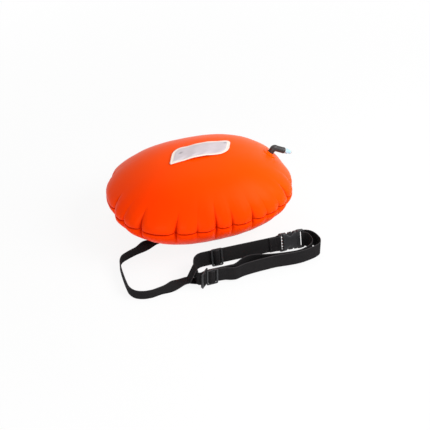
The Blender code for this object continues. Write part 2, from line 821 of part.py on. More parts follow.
def belt_across(i, point):
    """The belt stands upright in front and leans back along the back strand."""
    share = (point.y - front_strand_y) / (back_strand_y - front_strand_y)
    ease = min(max((share - lean_start_share) / lean_span_share, 0), 1)
    lean = belt_lean * ease * ease * (3 - 2 * ease)
    return Vector((0, math.sin(lean), math.cos(lean)))


def slider_slot():
    """How far the middle of a slider's slot is from the centre bar's middle, and the slot's width."""
    slot = (slider_length - 2 * slider_side_bar - slider_centre_bar) / 2
    return (slider_centre_bar + slot) / 2, slot


def weave():
    """A strap through a slider, as (along, off): behind the side bars and over the centre bar."""
    middle, slot = slider_slot()
    off = (slider_wall + webbing_wall) / 2 + seat_gap
    half = [
        (slider_length / 2 - seat_gap, -off), (slider_length / 2 - slider_side_bar / 2, -off),
        (middle + slot * weave_slope_share, -off), (middle, 0.0), (middle - slot * weave_slope_share, off),
        (0.0, off),
    ]
    return half + [(-u, v) for u, v in half[-2::-1]]


def slider_frame(x, y, turn):
    """A slider's middle, the direction along the strap, and the one off its front face."""
    along = Vector((math.cos(turn), math.sin(turn), 0))
    return Vector((x, y, strap_mid_z)), along, Vector((along.y, -along.x, 0))


def slider(name, material, matrix):
    """A frame with two slots. Local X is along the strap, Y off the frame's back and Z along the bars."""
    obj = block(
        name, (-slider_length / 2, -slider_wall / 2, -slider_height / 2),
        (slider_length / 2, slider_wall / 2, slider_height / 2), material, matrix, slider_wall * 0.3,
    )
    slot = slider_slot()[1]
    reach = slider_height / 2 - slider_edge_bar
    for label, start in (("left", -slider_length / 2 + slider_side_bar), ("right", slider_centre_bar / 2)):
        cut(obj, block(
            name + "_slot_" + label, (start, -slider_wall, -reach), (start + slot, slider_wall, reach),
            material, matrix,
        ))
    return obj


def build_belt(webbing, plastic):
    lean_matrix = Matrix.Rotation(-belt_lean, 4, "X")
    drop = math.cos(belt_lean)
    wrap_radius = (socket_bar + webbing_wall + loop_slack) / 2 + seat_gap
    bar_x = socket_x + socket_bar / 2

    lap_y = back_strand_y - layer_step / drop
    points = [Vector((bar_x - lap_length * share, lap_y, strap_mid_z)) for share in lap_point_shares]
    for i in range(half_turn_steps + 1):
        turn = -math.pi / 2 + math.pi * i / half_turn_steps
        y = back_strand_y + wrap_radius * math.sin(turn) / drop
        points.append(Vector((bar_x + wrap_radius * math.cos(turn), y, strap_mid_z)))
    for share in lap_point_shares[::-1]:
        points.append(Vector((bar_x - lap_length * share, back_strand_y, strap_mid_z)))
    points += [belt_place(*place) for place in left_bend_shares]
    points += [belt_place(*place) for place in front_corner_shares]
    points.append(Vector((tail_end_x, front_strand_y, strap_mid_z)))
    route = smooth_route(points, webbing_wall * 2)
    loft_object(
        "belt_back_strap", ribbon_rings(route, belt_webbing, webbing_wall, belt_across), webbing,
    )
    corner_x = left_bend_x + corner_slider_inset
    middle, along, off = slider_frame(corner_x, front_strand_y, corner_slider_turn)
    middle -= along * slider_slot()[0]
    turned_matrix = Matrix.Rotation(corner_slider_turn, 4, "Z")
    slider("corner_slider", plastic, Matrix.Translation(middle) @ turned_matrix)

    off_strap = webbing_wall * 1.5 + 2 * seat_gap + slider_wall / 2
    shift = lean_matrix @ Vector((0, -off_strap, 0))
    middle = Vector((back_slider_x, back_strand_y, strap_mid_z)) + shift
    back_matrix = Matrix.Translation(middle) @ lean_matrix
    slider("rear_slider", plastic, back_matrix)
    route = smooth_route([Vector((u, -v, 0)) for u, v in weave()], webbing_wall)
    rings = ribbon_rings(route, belt_webbing, webbing_wall, lambda i, point: Vector((0, 0, 1)))
    loft_object("rear_slider_wrap", rings, webbing, matrix=back_matrix)

    front_y = front_strand_y - layer_step - slider_length / 2 * math.sin(front_slider_turn)
    front_y -= (slider_wall + webbing_wall) / 2 + seat_gap
    middle, along, off = slider_frame(front_slider_x, front_y, front_slider_turn)
    turned_matrix = Matrix.Rotation(front_slider_turn, 4, "Z")
    slider("front_slider", plastic, Matrix.Translation(middle) @ turned_matrix)
    points = [middle + along * u + off * v for u, v in weave()[::-1]]
    points += [belt_place(*place) for place in outer_strand_shares]
    plug_bar_x = socket_x + socket_length + seat_gap + plug_base_length - plug_bar / 2
    plug_radius = (plug_bar + webbing_wall + loop_slack) / 2 + seat_gap
    for i in range(half_turn_steps + 1):
        turn = math.pi / 2 + math.pi * i / half_turn_steps
        y = back_strand_y + plug_radius * math.sin(turn) / drop
        points.append(Vector((plug_bar_x + plug_radius * math.cos(turn), y, strap_mid_z)))
    points += [belt_place(*place) for place in inner_strand_shares]
    inner_y = front_strand_y + layer_step
    inner_end = front_slider_x - slider_length * 0.30
    for share in (1.0, 0.94, 0.8, 0.5, 0.0):
        x = inner_end + (tail_end_x - slider_side_bar - inner_end) * share
        points.append(Vector((x, inner_y, strap_mid_z)))
    route = smooth_route(points, webbing_wall * 2)
    loft_object(
        "belt_front_strap", ribbon_rings(route, belt_webbing, webbing_wall, belt_across), webbing,
    )


# Buckle

def build_buckle(plastic):
    matrix = Matrix.Translation((0, back_strand_y, strap_mid_z)) @ Matrix.Rotation(-belt_lean, 4, "X")
    half_depth, half_rise = socket_depth / 2, socket_height / 2
    mouth = socket_x + socket_length
    strap_reach = belt_webbing / 2 + strap_side_clearance
    overrun = socket_wall

    socket = block(
        "buckle_socket", (socket_x, -half_depth, -half_rise), (mouth, half_depth, half_rise),
        plastic, matrix, buckle_round,
    )
    slot_end = socket_x + socket_bar + socket_slot
    cut(socket, block(
        "socket_strap_slot", (socket_x - overrun, -half_depth - overrun, -strap_reach),
        (slot_end, half_depth + overrun, strap_reach), plastic, matrix,
    ))
    inside_depth, inside_rise = half_depth - socket_wall, half_rise - socket_wall
    cavity_start = slot_end + socket_wall
    cut(socket, block(
        "socket_cavity", (cavity_start, -inside_depth, -inside_rise),
        (mouth + overrun, inside_depth, inside_rise), plastic, matrix,
    ))
    window_end = mouth - window_from_mouth
    cut(socket, block(
        "socket_windows", (window_end - window_length, -inside_depth, -half_rise - overrun),
        (window_end, inside_depth, half_rise + overrun), plastic, matrix,
    ))
    bar_bm = bmesh.new()
    bar_x = socket_x + socket_bar / 2
    loft(bar_bm, [
        circle_ring(Vector((bar_x, 0, z)), Vector((1, 0, 0)), Vector((0, 1, 0)), socket_bar / 2, 12)
        for z in (-strap_reach - overrun / 2, strap_reach + overrun / 2)
    ])
    cut(socket, add_object("socket_bar_core", bar_bm, plastic, matrix), "UNION")

    base = mouth + seat_gap
    plug_end = base + plug_base_length
    plug = block(
        "buckle_plug", (base, -half_depth, -half_rise), (plug_end, half_depth, half_rise),
        plastic, matrix, buckle_round,
    )
    cut(plug, block(
        "plug_strap_slot", (plug_end - plug_bar - plug_slot, -half_depth - overrun, -strap_reach),
        (plug_end + overrun, half_depth + overrun, strap_reach), plastic, matrix,
    ))
    bar_bm = bmesh.new()
    bar_x = plug_end - plug_bar / 2
    loft(bar_bm, [
        circle_ring(Vector((bar_x, 0, z)), Vector((1, 0, 0)), Vector((0, 1, 0)), plug_bar / 2, 12)
        for z in (-strap_reach - overrun / 2, strap_reach + overrun / 2)
    ])
    cut(plug, add_object("plug_bar_core", bar_bm, plastic, matrix), "UNION")
    cut(plug, block(
        "plug_tongue_core", (mouth - tongue_length, -tongue_depth / 2, -tongue_height / 2),
        (base + overrun, tongue_depth / 2, tongue_height / 2), plastic, matrix, tongue_depth * 0.2,
    ), "UNION")

    root = base - seat_gap
    arm_outer = inside_rise - prong_root_inset
    pad_end = window_end - seat_gap
    pad_start = pad_end - pad_length
    tip = root - prong_length
    pad_top = half_rise - seat_gap
    arm = (
        (root, arm_outer - prong_wall), (root, arm_outer), (pad_end, arm_outer),
        (pad_end, pad_top - pad_height * 0.1), (pad_end - pad_length * 0.12, pad_top),
        (pad_start, pad_top - pad_height * 0.35),
        (tip, arm_outer), (tip, arm_outer - prong_wall),
    )
    for name, sign in (("buckle_prong_upper", 1), ("buckle_prong_lower", -1)):
        rings = [
            [Vector((x - root, y, sign * (z - arm_outer + prong_wall / 2))) for x, z in arm]
            for y in (-prong_depth / 2, prong_depth / 2)
        ]
        pivot = matrix @ Matrix.Translation((root, 0, sign * (arm_outer - prong_wall / 2)))
        loft_object(name, rings, plastic, matrix=pivot)
        print(name, "pivot", tuple(pivot.translation))


def main():
    clear_scene()
    orange = make_material("float_vinyl", (1.0, 0.20, 0.0), 0.35)
    vinyl = make_material("handle_vinyl", (0.80, 0.72, 0.74), 0.35)
    webbing = make_material("webbing", (0.02, 0.02, 0.02), 0.8)
    plastic = make_material("black_plastic", (0.025, 0.025, 0.028), 0.45)
    rubber = make_material("valve_rubber", (0.035, 0.03, 0.03), 0.5)
    pale_blue = make_material("nozzle_plastic", (0.45, 0.66, 0.80), 0.4)
    grey = make_material("sleeve_plastic", (0.6, 0.6, 0.6), 0.4)
    steel = make_material("spring_steel", (0.6, 0.6, 0.6), 0.3, 1.0)
    upper = build_float(orange)
    build_handle(orange, vinyl)
    build_valve(upper, orange, rubber, pale_blue, grey, steel)
    build_leash(orange, webbing)
    build_belt(webbing, plastic)
    build_buckle(plastic)


main()
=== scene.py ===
# Open water swim buoy: an orange inflated float on a webbing leash and a waist belt.
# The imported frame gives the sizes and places, and this file gives the looks.

import math
import bpy
import bmesh
from mathutils import Matrix, Vector


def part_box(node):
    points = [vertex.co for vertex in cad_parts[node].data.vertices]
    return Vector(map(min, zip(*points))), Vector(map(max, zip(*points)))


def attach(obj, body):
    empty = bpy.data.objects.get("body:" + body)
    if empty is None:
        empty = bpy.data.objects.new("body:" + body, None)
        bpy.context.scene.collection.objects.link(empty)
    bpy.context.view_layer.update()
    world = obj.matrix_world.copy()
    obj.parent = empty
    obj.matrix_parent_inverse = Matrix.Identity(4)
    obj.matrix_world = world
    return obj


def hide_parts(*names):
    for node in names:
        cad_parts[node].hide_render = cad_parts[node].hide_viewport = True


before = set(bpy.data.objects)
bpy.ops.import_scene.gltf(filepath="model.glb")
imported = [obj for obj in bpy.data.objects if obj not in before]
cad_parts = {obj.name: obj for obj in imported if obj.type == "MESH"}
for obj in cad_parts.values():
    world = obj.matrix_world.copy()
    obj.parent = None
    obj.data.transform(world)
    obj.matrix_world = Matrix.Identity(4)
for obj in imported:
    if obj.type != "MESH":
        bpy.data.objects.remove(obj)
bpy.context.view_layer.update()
scene = bpy.context.scene
scene.view_settings.view_transform = "Standard"
print("frame loaded:", len(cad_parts), "nodes")


# Camera: the photograph's own view

cameraSetup = {
    "eye": (-0.72811, -2.29175, 1.90288),
    "aim": (0.0220, -0.04988, 0.05589),
    "lens": 103.36,
    "sensor": 36.0,
}


def addCamera():
    data = bpy.data.cameras.new("photoCamera")
    data.lens = cameraSetup["lens"]
    data.sensor_width = cameraSetup["sensor"]
    camera = bpy.data.objects.new("photoCamera", data)
    scene.collection.objects.link(camera)
    eye, aim = Vector(cameraSetup["eye"]), Vector(cameraSetup["aim"])
    camera.location = eye
    camera.rotation_euler = (aim - eye).to_track_quat("-Z", "Y").to_euler()
    scene.camera = camera


addCamera()
print("camera placed")


# Small helpers for node trees

def setInput(tree, socket, value):
    if isinstance(value, bpy.types.NodeSocket):
        tree.links.new(value, socket)
    elif value is not None:
        socket.default_value = value


def setInputs(tree, node, values):
    for label, value in values.items():
        setInput(tree, node.inputs[label], value)


def mathNode(tree, operation, first, second=None, third=None, clamp=False):
    node = tree.nodes.new("ShaderNodeMath")
    node.operation = operation
    node.use_clamp = clamp
    for socket, value in zip(node.inputs, (first, second, third)):
        setInput(tree, socket, value)
    return node.outputs[0]


def mixColor(tree, factor, first, second):
    # On the Mix node, sockets 0, 6 and 7 are its factor and two colours, and 2 is the mixed colour
    node = tree.nodes.new("ShaderNodeMix")
    node.data_type = "RGBA"
    setInput(tree, node.inputs[0], factor)
    setInput(tree, node.inputs[6], first)
    setInput(tree, node.inputs[7], second)
    return node.outputs[2]


def noiseNode(tree, vector, scale, detail=2.0, roughness=0.5):
    node = tree.nodes.new("ShaderNodeTexNoise")
    setInputs(tree, node, {"Vector": vector, "Scale": scale, "Detail": detail, "Roughness": roughness})
    return node.outputs["Fac"]


def rangeNode(tree, value, fromLow, fromHigh, toLow, toHigh):
    node = tree.nodes.new("ShaderNodeMapRange")
    for socket, given in zip(node.inputs, (value, fromLow, fromHigh, toLow, toHigh)):
        setInput(tree, socket, given)
    return node.outputs[0]


def attributeNode(tree, name):
    node = tree.nodes.new("ShaderNodeAttribute")
    node.attribute_name = name
    return node.outputs["Fac"]


def bumpNode(tree, height, distance, strength, normal=None):
    node = tree.nodes.new("ShaderNodeBump")
    values = {"Strength": strength, "Distance": distance, "Height": height, "Normal": normal}
    setInputs(tree, node, values)
    return node.outputs["Normal"]


def newGroup(name, inputs, outputs):
    group = bpy.data.node_groups.new(name, "ShaderNodeTree")
    for label, kind, value in inputs:
        socket = group.interface.new_socket(label, in_out="INPUT", socket_type=kind)
        if value is not None:
            socket.default_value = value
    for label, kind in outputs:
        group.interface.new_socket(label, in_out="OUTPUT", socket_type=kind)
    return group, group.nodes.new("NodeGroupInput"), group.nodes.new("NodeGroupOutput")


def solid(color):
    return (*color, 1.0)


def newMaterial(name, color, roughness):
    material = bpy.data.materials.new(name)
    material.use_nodes = True
    tree = material.node_tree
    shader = tree.nodes["Principled BSDF"]
    setInputs(tree, shader, {"Base Color": solid(color), "Roughness": roughness})
    return material, tree, shader


def objectCoords(tree):
    return tree.nodes.new("ShaderNodeTexCoord").outputs["Object"]


def placeGroup(tree, group, values):
    node = tree.nodes.new("ShaderNodeGroup")
    node.node_tree = group
    setInputs(tree, node, values)
    return node.outputs


# Shared effects

marksLook = {"scale": 60.0, "detail": 6.0, "roughness": 0.7, "low": 0.58, "high": 0.75}
weaveLook = {
    "rib": 0.0013, "thread": 0.0016,
    "stagger": 0.5,  # threads, from one rib to the next
    "ribRoundness": 0.6, "threadSwing": 0.28,
    "gapLow": 0.15, "gapHigh": 0.55,
    # The selvage band carries a painted highlight along the strap's edges
    "selvageHighlightOuter": 0.0011, "selvageHighlightInner": 0.0016,
}
strapWidths = {"belt": 0.038, "leash": 0.025, "tab": 0.012}


def surfaceGrainGroup():
    # A fine moulded or calendered grain, a slower mottle and soft handling marks
    group, ins, outs = newGroup(
        "surfaceGrain",
        [("Vector", "NodeSocketVector", None), ("Fine Scale", "NodeSocketFloat", 900.0),
         ("Slow Scale", "NodeSocketFloat", 14.0)],
        [("Grain", "NodeSocketFloat"), ("Mottle", "NodeSocketFloat"), ("Marks", "NodeSocketFloat")],
    )
    vector = ins.outputs["Vector"]
    fine = noiseNode(group, vector, ins.outputs["Fine Scale"])
    slow = noiseNode(group, vector, ins.outputs["Slow Scale"], 3.0)
    marks = noiseNode(group, vector, marksLook["scale"], marksLook["detail"], marksLook["roughness"])
    marks = rangeNode(group, marks, marksLook["low"], marksLook["high"], 0.0, 1.0)
    setInputs(group, outs, {"Grain": fine, "Mottle": slow, "Marks": marks})
    return group


def webbingWeaveGroup():
    # Ribs along the strap, each cut into threads that step from rib to rib
    group, ins, outs = newGroup(
        "webbingWeave",
        [("Along", "NodeSocketFloat", 0.0), ("Across", "NodeSocketFloat", 0.0),
         ("Half Width", "NodeSocketFloat", strapWidths["belt"] / 2),
         ("Rib", "NodeSocketFloat", weaveLook["rib"]),
         ("Thread", "NodeSocketFloat", weaveLook["thread"])],
        [("Height", "NodeSocketFloat"), ("Gap", "NodeSocketFloat"), ("Selvage Highlight", "NodeSocketFloat")],
    )
    across = mathNode(group, "DIVIDE", ins.outputs["Across"], ins.outputs["Rib"])
    along = mathNode(group, "DIVIDE", ins.outputs["Along"], ins.outputs["Thread"])
    row = mathNode(group, "FLOOR", across)
    shifted = mathNode(group, "ADD", along, mathNode(group, "MULTIPLY", row, weaveLook["stagger"]))
    ribWave = mathNode(group, "SINE", mathNode(group, "MULTIPLY", across, math.pi))
    ribWave = mathNode(group, "POWER", mathNode(group, "ABSOLUTE", ribWave), weaveLook["ribRoundness"])
    threadWave = mathNode(group, "SINE", mathNode(group, "MULTIPLY", shifted, 2 * math.pi))
    swing = weaveLook["threadSwing"]
    threadWave = mathNode(group, "MULTIPLY_ADD", threadWave, swing, 1 - swing)
    height = mathNode(group, "MULTIPLY", ribWave, threadWave)
    gap = rangeNode(group, height, weaveLook["gapLow"], weaveLook["gapHigh"], 1.0, 0.0)
    # Painted highlight along the strap's edges
    fromMiddle = mathNode(group, "ABSOLUTE", ins.outputs["Across"])
    fromEdge = mathNode(group, "SUBTRACT", ins.outputs["Half Width"], fromMiddle)
    selvageHighlight = rangeNode(group, fromEdge, weaveLook["selvageHighlightInner"], weaveLook["selvageHighlightOuter"], 0.0, 1.0)
    setInputs(group, outs, {"Height": height, "Gap": gap, "Selvage Highlight": selvageHighlight})
    return group


surfaceGrain = surfaceGrainGroup()
webbingWeave = webbingWeaveGroup()


# Materials: each finish has its tones, its roughness and the size and depth of its grain

mottleSpread = (0.3, 0.7)  # the part of the mottle's range that moves the roughness
vinylFinish = {
    # The fold colour is painted shade in the creases and the seam's groove
    "color": (1.0, 0.040, 0.0), "mottleColor": (1.0, 0.050, 0.0), "foldShadeColor": (0.46, 0.002, 0.0),
    # Painted light: a lighter, yellower orange towards the far right and the back
    "paintedLightColor": (1.0, 0.125, 0.0),
    "paintedLight": (1.4, 2.3, 0.40), "paintedLightMost": 0.8,  # per metre along X and Y, and at the middle
    "gloss": 0.10, "bellyGloss": 0.03, "glossTint": (1.0, 0.45, 0.18),
    "roughness": (0.33, 0.40), "marksRoughness": 0.05,
    "grainScale": 1400.0, "mottleScale": 9.0, "grainDepth": 0.00004, "grainStrength": 0.5,
    "swellScale": 26.0, "swellDepth": 0.0006, "swellStrength": 0.35,
}
handleFinish = {
    "dark": (0.56, 0.49, 0.52), "light": (0.65, 0.58, 0.61),
    "roughness": (0.30, 0.42), "gloss": 0.5,
    "grainScale": 1600.0, "mottleScale": 38.0, "grainDepth": 0.00005, "grainStrength": 0.5,
    # The mark colour is painted shade at the pinched weld ends
    "borderColor": (0.86, 0.76, 0.68), "weldShadeColor": (0.30, 0.26, 0.28),
}
plasticFinish = {
    "dark": (0.020, 0.020, 0.022), "light": (0.030, 0.030, 0.032),
    "roughness": (0.34, 0.46), "gloss": 0.35,
    "grainScale": 1900.0, "mottleScale": 45.0, "grainDepth": 0.00005, "grainStrength": 0.6,
    "marksColor": (0.05, 0.05, 0.052), "marksShare": 0.25,
}
rubberFinish = {
    "dark": (0.014, 0.011, 0.011), "light": (0.026, 0.021, 0.022),
    "roughness": (0.38, 0.52), "gloss": 0.5,
    "grainScale": 1500.0, "mottleScale": 60.0, "grainDepth": 0.00005, "grainStrength": 0.6,
}
nozzleFinish = {
    "dark": (0.38, 0.61, 0.76), "light": (0.50, 0.71, 0.83),
    "roughness": (0.26, 0.36), "gloss": 0.5,
    "grainScale": 1700.0, "mottleScale": 120.0, "grainDepth": 0.00003, "grainStrength": 0.5,
    "tipColor": (0.55, 0.56, 0.55), "milkiness": 0.25, "milkRadius": (0.002, 0.003, 0.004),
}
sleeveFinish = {
    "dark": (0.46, 0.48, 0.49), "light": (0.55, 0.57, 0.58),
    "roughness": (0.30, 0.42), "gloss": 0.5,
    "grainScale": 1800.0, "mottleScale": 150.0, "grainDepth": 0.00003, "grainStrength": 0.5,
}
steelFinish = {
    "color": (0.62, 0.62, 0.63), "roughness": (0.22, 0.36), "grainScale": 2600.0, "mottleScale": 300.0,
}
webbingFinish = {
    "dark": (0.0115, 0.0106, 0.0112), "light": (0.0185, 0.0170, 0.0178),
    # The gap colour is painted shade in the hollows between the threads
    "gapShadeColor": (0.003, 0.003, 0.0032), "gapShadeShare": 0.55, "gapRoughness": 0.10,
    # The selvage colour is a painted highlight along the strap's edges
    "selvageHighlightColor": (0.045, 0.042, 0.044), "selvageHighlightShare": 0.8,
    "roughness": 0.82, "gloss": 0.08,
    "grainScale": 2200.0, "mottleScale": 22.0, "grainDepth": 0.00006, "grainStrength": 0.5,
    "weaveDepth": 0.00022, "weaveStrength": 0.8,
}
threadFinish = {
    "color": (0.040, 0.038, 0.040), "shade": 0.72, "roughness": 0.75,
    "twistScale": 420.0, "twistDistortion": 1.5, "twistDepth": 0.0001, "twistStrength": 0.6,
}


def placeGrain(tree, finish):
    return placeGroup(tree, surfaceGrain, {
        "Vector": objectCoords(tree), "Fine Scale": finish["grainScale"],
        "Slow Scale": finish["mottleScale"],
    })


def grainedMaterial(name, finish):
    # A mottle between two tones under a fine grain: the base of every moulded finish
    material, tree, shader = newMaterial(name, finish["light"], finish["roughness"][0])
    grain = placeGrain(tree, finish)
    color = mixColor(tree, grain["Mottle"], solid(finish["dark"]), solid(finish["light"]))
    roughness = rangeNode(tree, grain["Mottle"], *mottleSpread, *finish["roughness"])
    bump = bumpNode(tree, grain["Grain"], finish["grainDepth"], finish["grainStrength"])
    setInputs(tree, shader, {
        "Base Color": color, "Roughness": roughness, "Normal": bump,
        "Specular IOR Level": finish["gloss"],
    })
    return material, tree, shader, grain, color


def makeFloatVinyl(name, gloss):
    # Painted light: lighter and yellower towards the far right and the back, where the key light falls,
    # and painted shade in dark red along the creases and the seam
    finish = vinylFinish
    material, tree, shader = newMaterial(name, finish["color"], finish["roughness"][0])
    grain = placeGrain(tree, finish)
    color = mixColor(tree, grain["Mottle"], solid(finish["color"]), solid(finish["mottleColor"]))
    split = tree.nodes.new("ShaderNodeSeparateXYZ")
    tree.links.new(objectCoords(tree), split.inputs[0])
    # Painted light, growing along X and Y towards the lit side
    towardsX, towardsY, middle = finish["paintedLight"]
    paintedLight = mathNode(tree, "MULTIPLY_ADD", split.outputs["X"], towardsX, middle)
    paintedLight = mathNode(tree, "MULTIPLY_ADD", split.outputs["Y"], towardsY, paintedLight)
    paintedLight = rangeNode(tree, paintedLight, 0.0, finish["paintedLightMost"], 0.0, finish["paintedLightMost"])
    color = mixColor(tree, paintedLight, color, solid(finish["paintedLightColor"]))
    # Painted shade: dark red in the creases and along the seam's groove
    color = mixColor(tree, attributeNode(tree, "foldShade"), color, solid(finish["foldShadeColor"]))
    roughness = rangeNode(tree, grain["Mottle"], *mottleSpread, *finish["roughness"])
    roughness = mathNode(tree, "MULTIPLY_ADD", grain["Marks"], finish["marksRoughness"], roughness)
    swell = noiseNode(tree, objectCoords(tree), finish["swellScale"])
    swell = bumpNode(tree, swell, finish["swellDepth"], finish["swellStrength"])
    bump = bumpNode(tree, grain["Grain"], finish["grainDepth"], finish["grainStrength"], swell)
    setInputs(tree, shader, {
        "Base Color": color, "Roughness": roughness, "Normal": bump,
        "Specular IOR Level": gloss, "Specular Tint": solid(finish["glossTint"]),
    })
    return material


def makeHandleVinyl():
    material, tree, shader, grain, color = grainedMaterial("handleVinyl", handleFinish)
    color = mixColor(tree, attributeNode(tree, "border"), color, solid(handleFinish["borderColor"]))
    # Painted shade at the pinched weld ends of the arch
    color = mixColor(tree, attributeNode(tree, "weld"), color, solid(handleFinish["weldShadeColor"]))
    setInputs(tree, shader, {"Base Color": color})
    return material


def makeWebbing(name, width):
    finish = webbingFinish
    material, tree, shader = newMaterial(name, finish["dark"], finish["roughness"])
    uvMap = tree.nodes.new("ShaderNodeUVMap")
    uvMap.uv_map = "strap"
    split = tree.nodes.new("ShaderNodeSeparateXYZ")
    tree.links.new(uvMap.outputs["UV"], split.inputs[0])
    weave = placeGroup(tree, webbingWeave, {
        "Along": split.outputs["X"], "Across": split.outputs["Y"], "Half Width": width / 2,
    })
    grain = placeGrain(tree, finish)
    color = mixColor(tree, grain["Mottle"], solid(finish["dark"]), solid(finish["light"]))
    # Painted shade in the weave's hollows between the threads
    gap = mathNode(tree, "MULTIPLY", weave["Gap"], finish["gapShadeShare"])
    color = mixColor(tree, gap, color, solid(finish["gapShadeColor"]))
    # Painted highlight along the strap's edges, where light grazes them
    selvageHighlight = mathNode(tree, "MULTIPLY", weave["Selvage Highlight"], finish["selvageHighlightShare"])
    color = mixColor(tree, selvageHighlight, color, solid(finish["selvageHighlightColor"]))
    roughness = mathNode(tree, "MULTIPLY_ADD", weave["Gap"], finish["gapRoughness"], finish["roughness"])
    bump = bumpNode(tree, grain["Grain"], finish["grainDepth"], finish["grainStrength"])
    bump = bumpNode(tree, weave["Height"], finish["weaveDepth"], finish["weaveStrength"], bump)
    setInputs(tree, shader, {
        "Base Color": color, "Roughness": roughness, "Normal": bump,
        "Specular IOR Level": finish["gloss"],
    })
    return material


def makeBlackPlastic():
    material, tree, shader, grain, color = grainedMaterial("blackPlastic", plasticFinish)
    marks = mathNode(tree, "MULTIPLY", grain["Marks"], plasticFinish["marksShare"])
    color = mixColor(tree, marks, color, solid(plasticFinish["marksColor"]))
    setInputs(tree, shader, {"Base Color": color})
    return material


def makeNozzlePlastic():
    material, tree, shader, grain, color = grainedMaterial("nozzlePlastic", nozzleFinish)
    color = mixColor(tree, attributeNode(tree, "tip"), color, solid(nozzleFinish["tipColor"]))
    setInputs(tree, shader, {
        "Base Color": color, "Subsurface Weight": nozzleFinish["milkiness"],
        "Subsurface Radius": nozzleFinish["milkRadius"], "Subsurface Scale": 1.0,
    })
    return material


def makeSpringSteel():
    material, tree, shader = newMaterial("springSteel", steelFinish["color"], steelFinish["roughness"][0])
    grain = placeGrain(tree, steelFinish)
    roughness = rangeNode(tree, grain["Grain"], *mottleSpread, *steelFinish["roughness"])
    setInputs(tree, shader, {"Metallic": 1.0, "Roughness": roughness})
    return material


def makeBlackThread():
    finish = threadFinish
    material, tree, shader = newMaterial("blackThread", finish["color"], finish["roughness"])
    twist = tree.nodes.new("ShaderNodeTexWave")
    setInputs(tree, twist, {
        "Vector": objectCoords(tree), "Scale": finish["twistScale"],
        "Distortion": finish["twistDistortion"],
    })
    dark = [finish["shade"] * part for part in finish["color"]]
    color = mixColor(tree, twist.outputs["Fac"], solid(dark), solid(finish["color"]))
    bump = bumpNode(tree, twist.outputs["Fac"], finish["twistDepth"], finish["twistStrength"])
    setInputs(tree, shader, {"Base Color": color, "Normal": bump})
    return material


floatVinyl = makeFloatVinyl("floatVinyl", vinylFinish["gloss"])
bellyVinyl = makeFloatVinyl("bellyVinyl", vinylFinish["bellyGloss"])
handleVinyl = makeHandleVinyl()
beltWebbing = makeWebbing("beltWebbing", strapWidths["belt"])
leashWebbing = makeWebbing("leashWebbing", strapWidths["leash"])
tabWebbing = makeWebbing("tabWebbing", strapWidths["tab"])
blackPlastic = makeBlackPlastic()
valveRubber = grainedMaterial("valveRubber", rubberFinish)[0]
nozzlePlastic = makeNozzlePlastic()
sleevePlastic = grainedMaterial("sleevePlastic", sleeveFinish)[0]
springSteel = makeSpringSteel()
blackThread = makeBlackThread()
print("materials made")


# Small helpers for meshes

mergeReach = 1e-6
sharpAngles = {"flange": 45, "tube": 50, "nozzle": 45, "slider": 50, "buckle": 40}  # shaded sharp above
routeSamples = 24  # between two points of a route, before it is cut into even steps
strapEdge = {"columns": 14, "dip": 0.10, "dipPlace": 1.5, "dipHalf": 0.45}  # dips in shares of the wall


def newPiece(name, bm, material, body, stands=(), sharpAngle=None):
    mesh = bpy.data.meshes.new(name)
    bm.to_mesh(mesh)
    bm.free()
    mesh.materials.append(material)
    mesh.shade_smooth()
    if sharpAngle:
        mesh.set_sharp_from_angle(angle=math.radians(sharpAngle))
    piece = bpy.data.objects.new(name, mesh)
    scene.collection.objects.link(piece)
    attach(piece, body)
    if stands:
        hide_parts(*stands)
    return piece


def turnOutwards(bm):
    bmesh.ops.recalc_face_normals(bm, faces=bm.faces)


def moveMesh(bm, matrix):
    bmesh.ops.transform(bm, matrix=matrix, verts=bm.verts)


def within(value):  # held between 0 and 1
    return min(max(value, 0.0), 1.0)


def eased(share):  # a share that starts and ends slowly
    return share * share * (3 - 2 * share)


def bell(away):  # 1 in the middle, and nearly 0 from twice its half width
    return math.exp(-(away**2))


def addWall(piece, thickness):
    wall = piece.modifiers.new("wall", "SOLIDIFY")
    wall.thickness = thickness
    wall.offset = -1.0
    wall.use_rim = True


def smoothRoute(points, step):
    # Even steps along one smooth curve through the points, as in the CAD source
    points = [Vector(point) for point in points]
    ends = [2 * points[0] - points[1], *points, 2 * points[-1] - points[-2]]
    fine = []
    for before, start, end, after in zip(ends, ends[1:], ends[2:], ends[3:]):
        pairs = ((before, start), (start, end), (end, after))
        first, middle, last = [max((b - a).length, 1e-5) ** 0.5 for a, b in pairs]
        leave = (start - before) / first - (end - before) / (first + middle) + (end - start) / middle
        arrive = (end - start) / middle - (after - start) / (middle + last) + (after - end) / last
        for i in range(routeSamples):
            t = i / routeSamples
            fine.append(
                start * (2 * t**3 - 3 * t**2 + 1) + leave * middle * (t**3 - 2 * t**2 + t)
                + end * (3 * t**2 - 2 * t**3) + arrive * middle * (t**3 - t**2)
            )
    fine.append(points[-1])
    reach = routeDistances(fine)
    count = max(round(reach[-1] / step), 2)
    route, spot = [], 0
    for i in range(count + 1):
        wanted = reach[-1] * i / count
        while spot < len(fine) - 2 and reach[spot + 1] < wanted:
            spot += 1
        span = max(reach[spot + 1] - reach[spot], 1e-9)
        route.append(fine[spot].lerp(fine[spot + 1], within((wanted - reach[spot]) / span)))
    return route


def routeDistances(route):
    reach = [0.0]
    for a, b in zip(route, route[1:]):
        reach.append(reach[-1] + (b - a).length)
    return reach


def strapSection(width, wall):
    # Half-round edges and a flat middle with a slightly thicker selvage: (across, off) round the section
    half, edge, count = width / 2, wall / 2, strapEdge["columns"]
    top = []
    for i in range(count + 1):
        across = (half - edge) * (2 * i / count - 1)
        fromEdge = half - abs(across)
        past = (fromEdge - wall * strapEdge["dipPlace"]) / (wall * strapEdge["dipHalf"])
        top.append((across, edge - strapEdge["dip"] * wall * bell(past)))
    turns = [math.pi / 2 - math.pi * i / 4 for i in range(1, 4)]
    right = [(half - edge + edge * math.cos(t), edge * math.sin(t)) for t in turns]
    bottom = [(u, -v) for u, v in reversed(top)]
    left = [(-u, -v) for u, v in right]
    return top + right + bottom + left


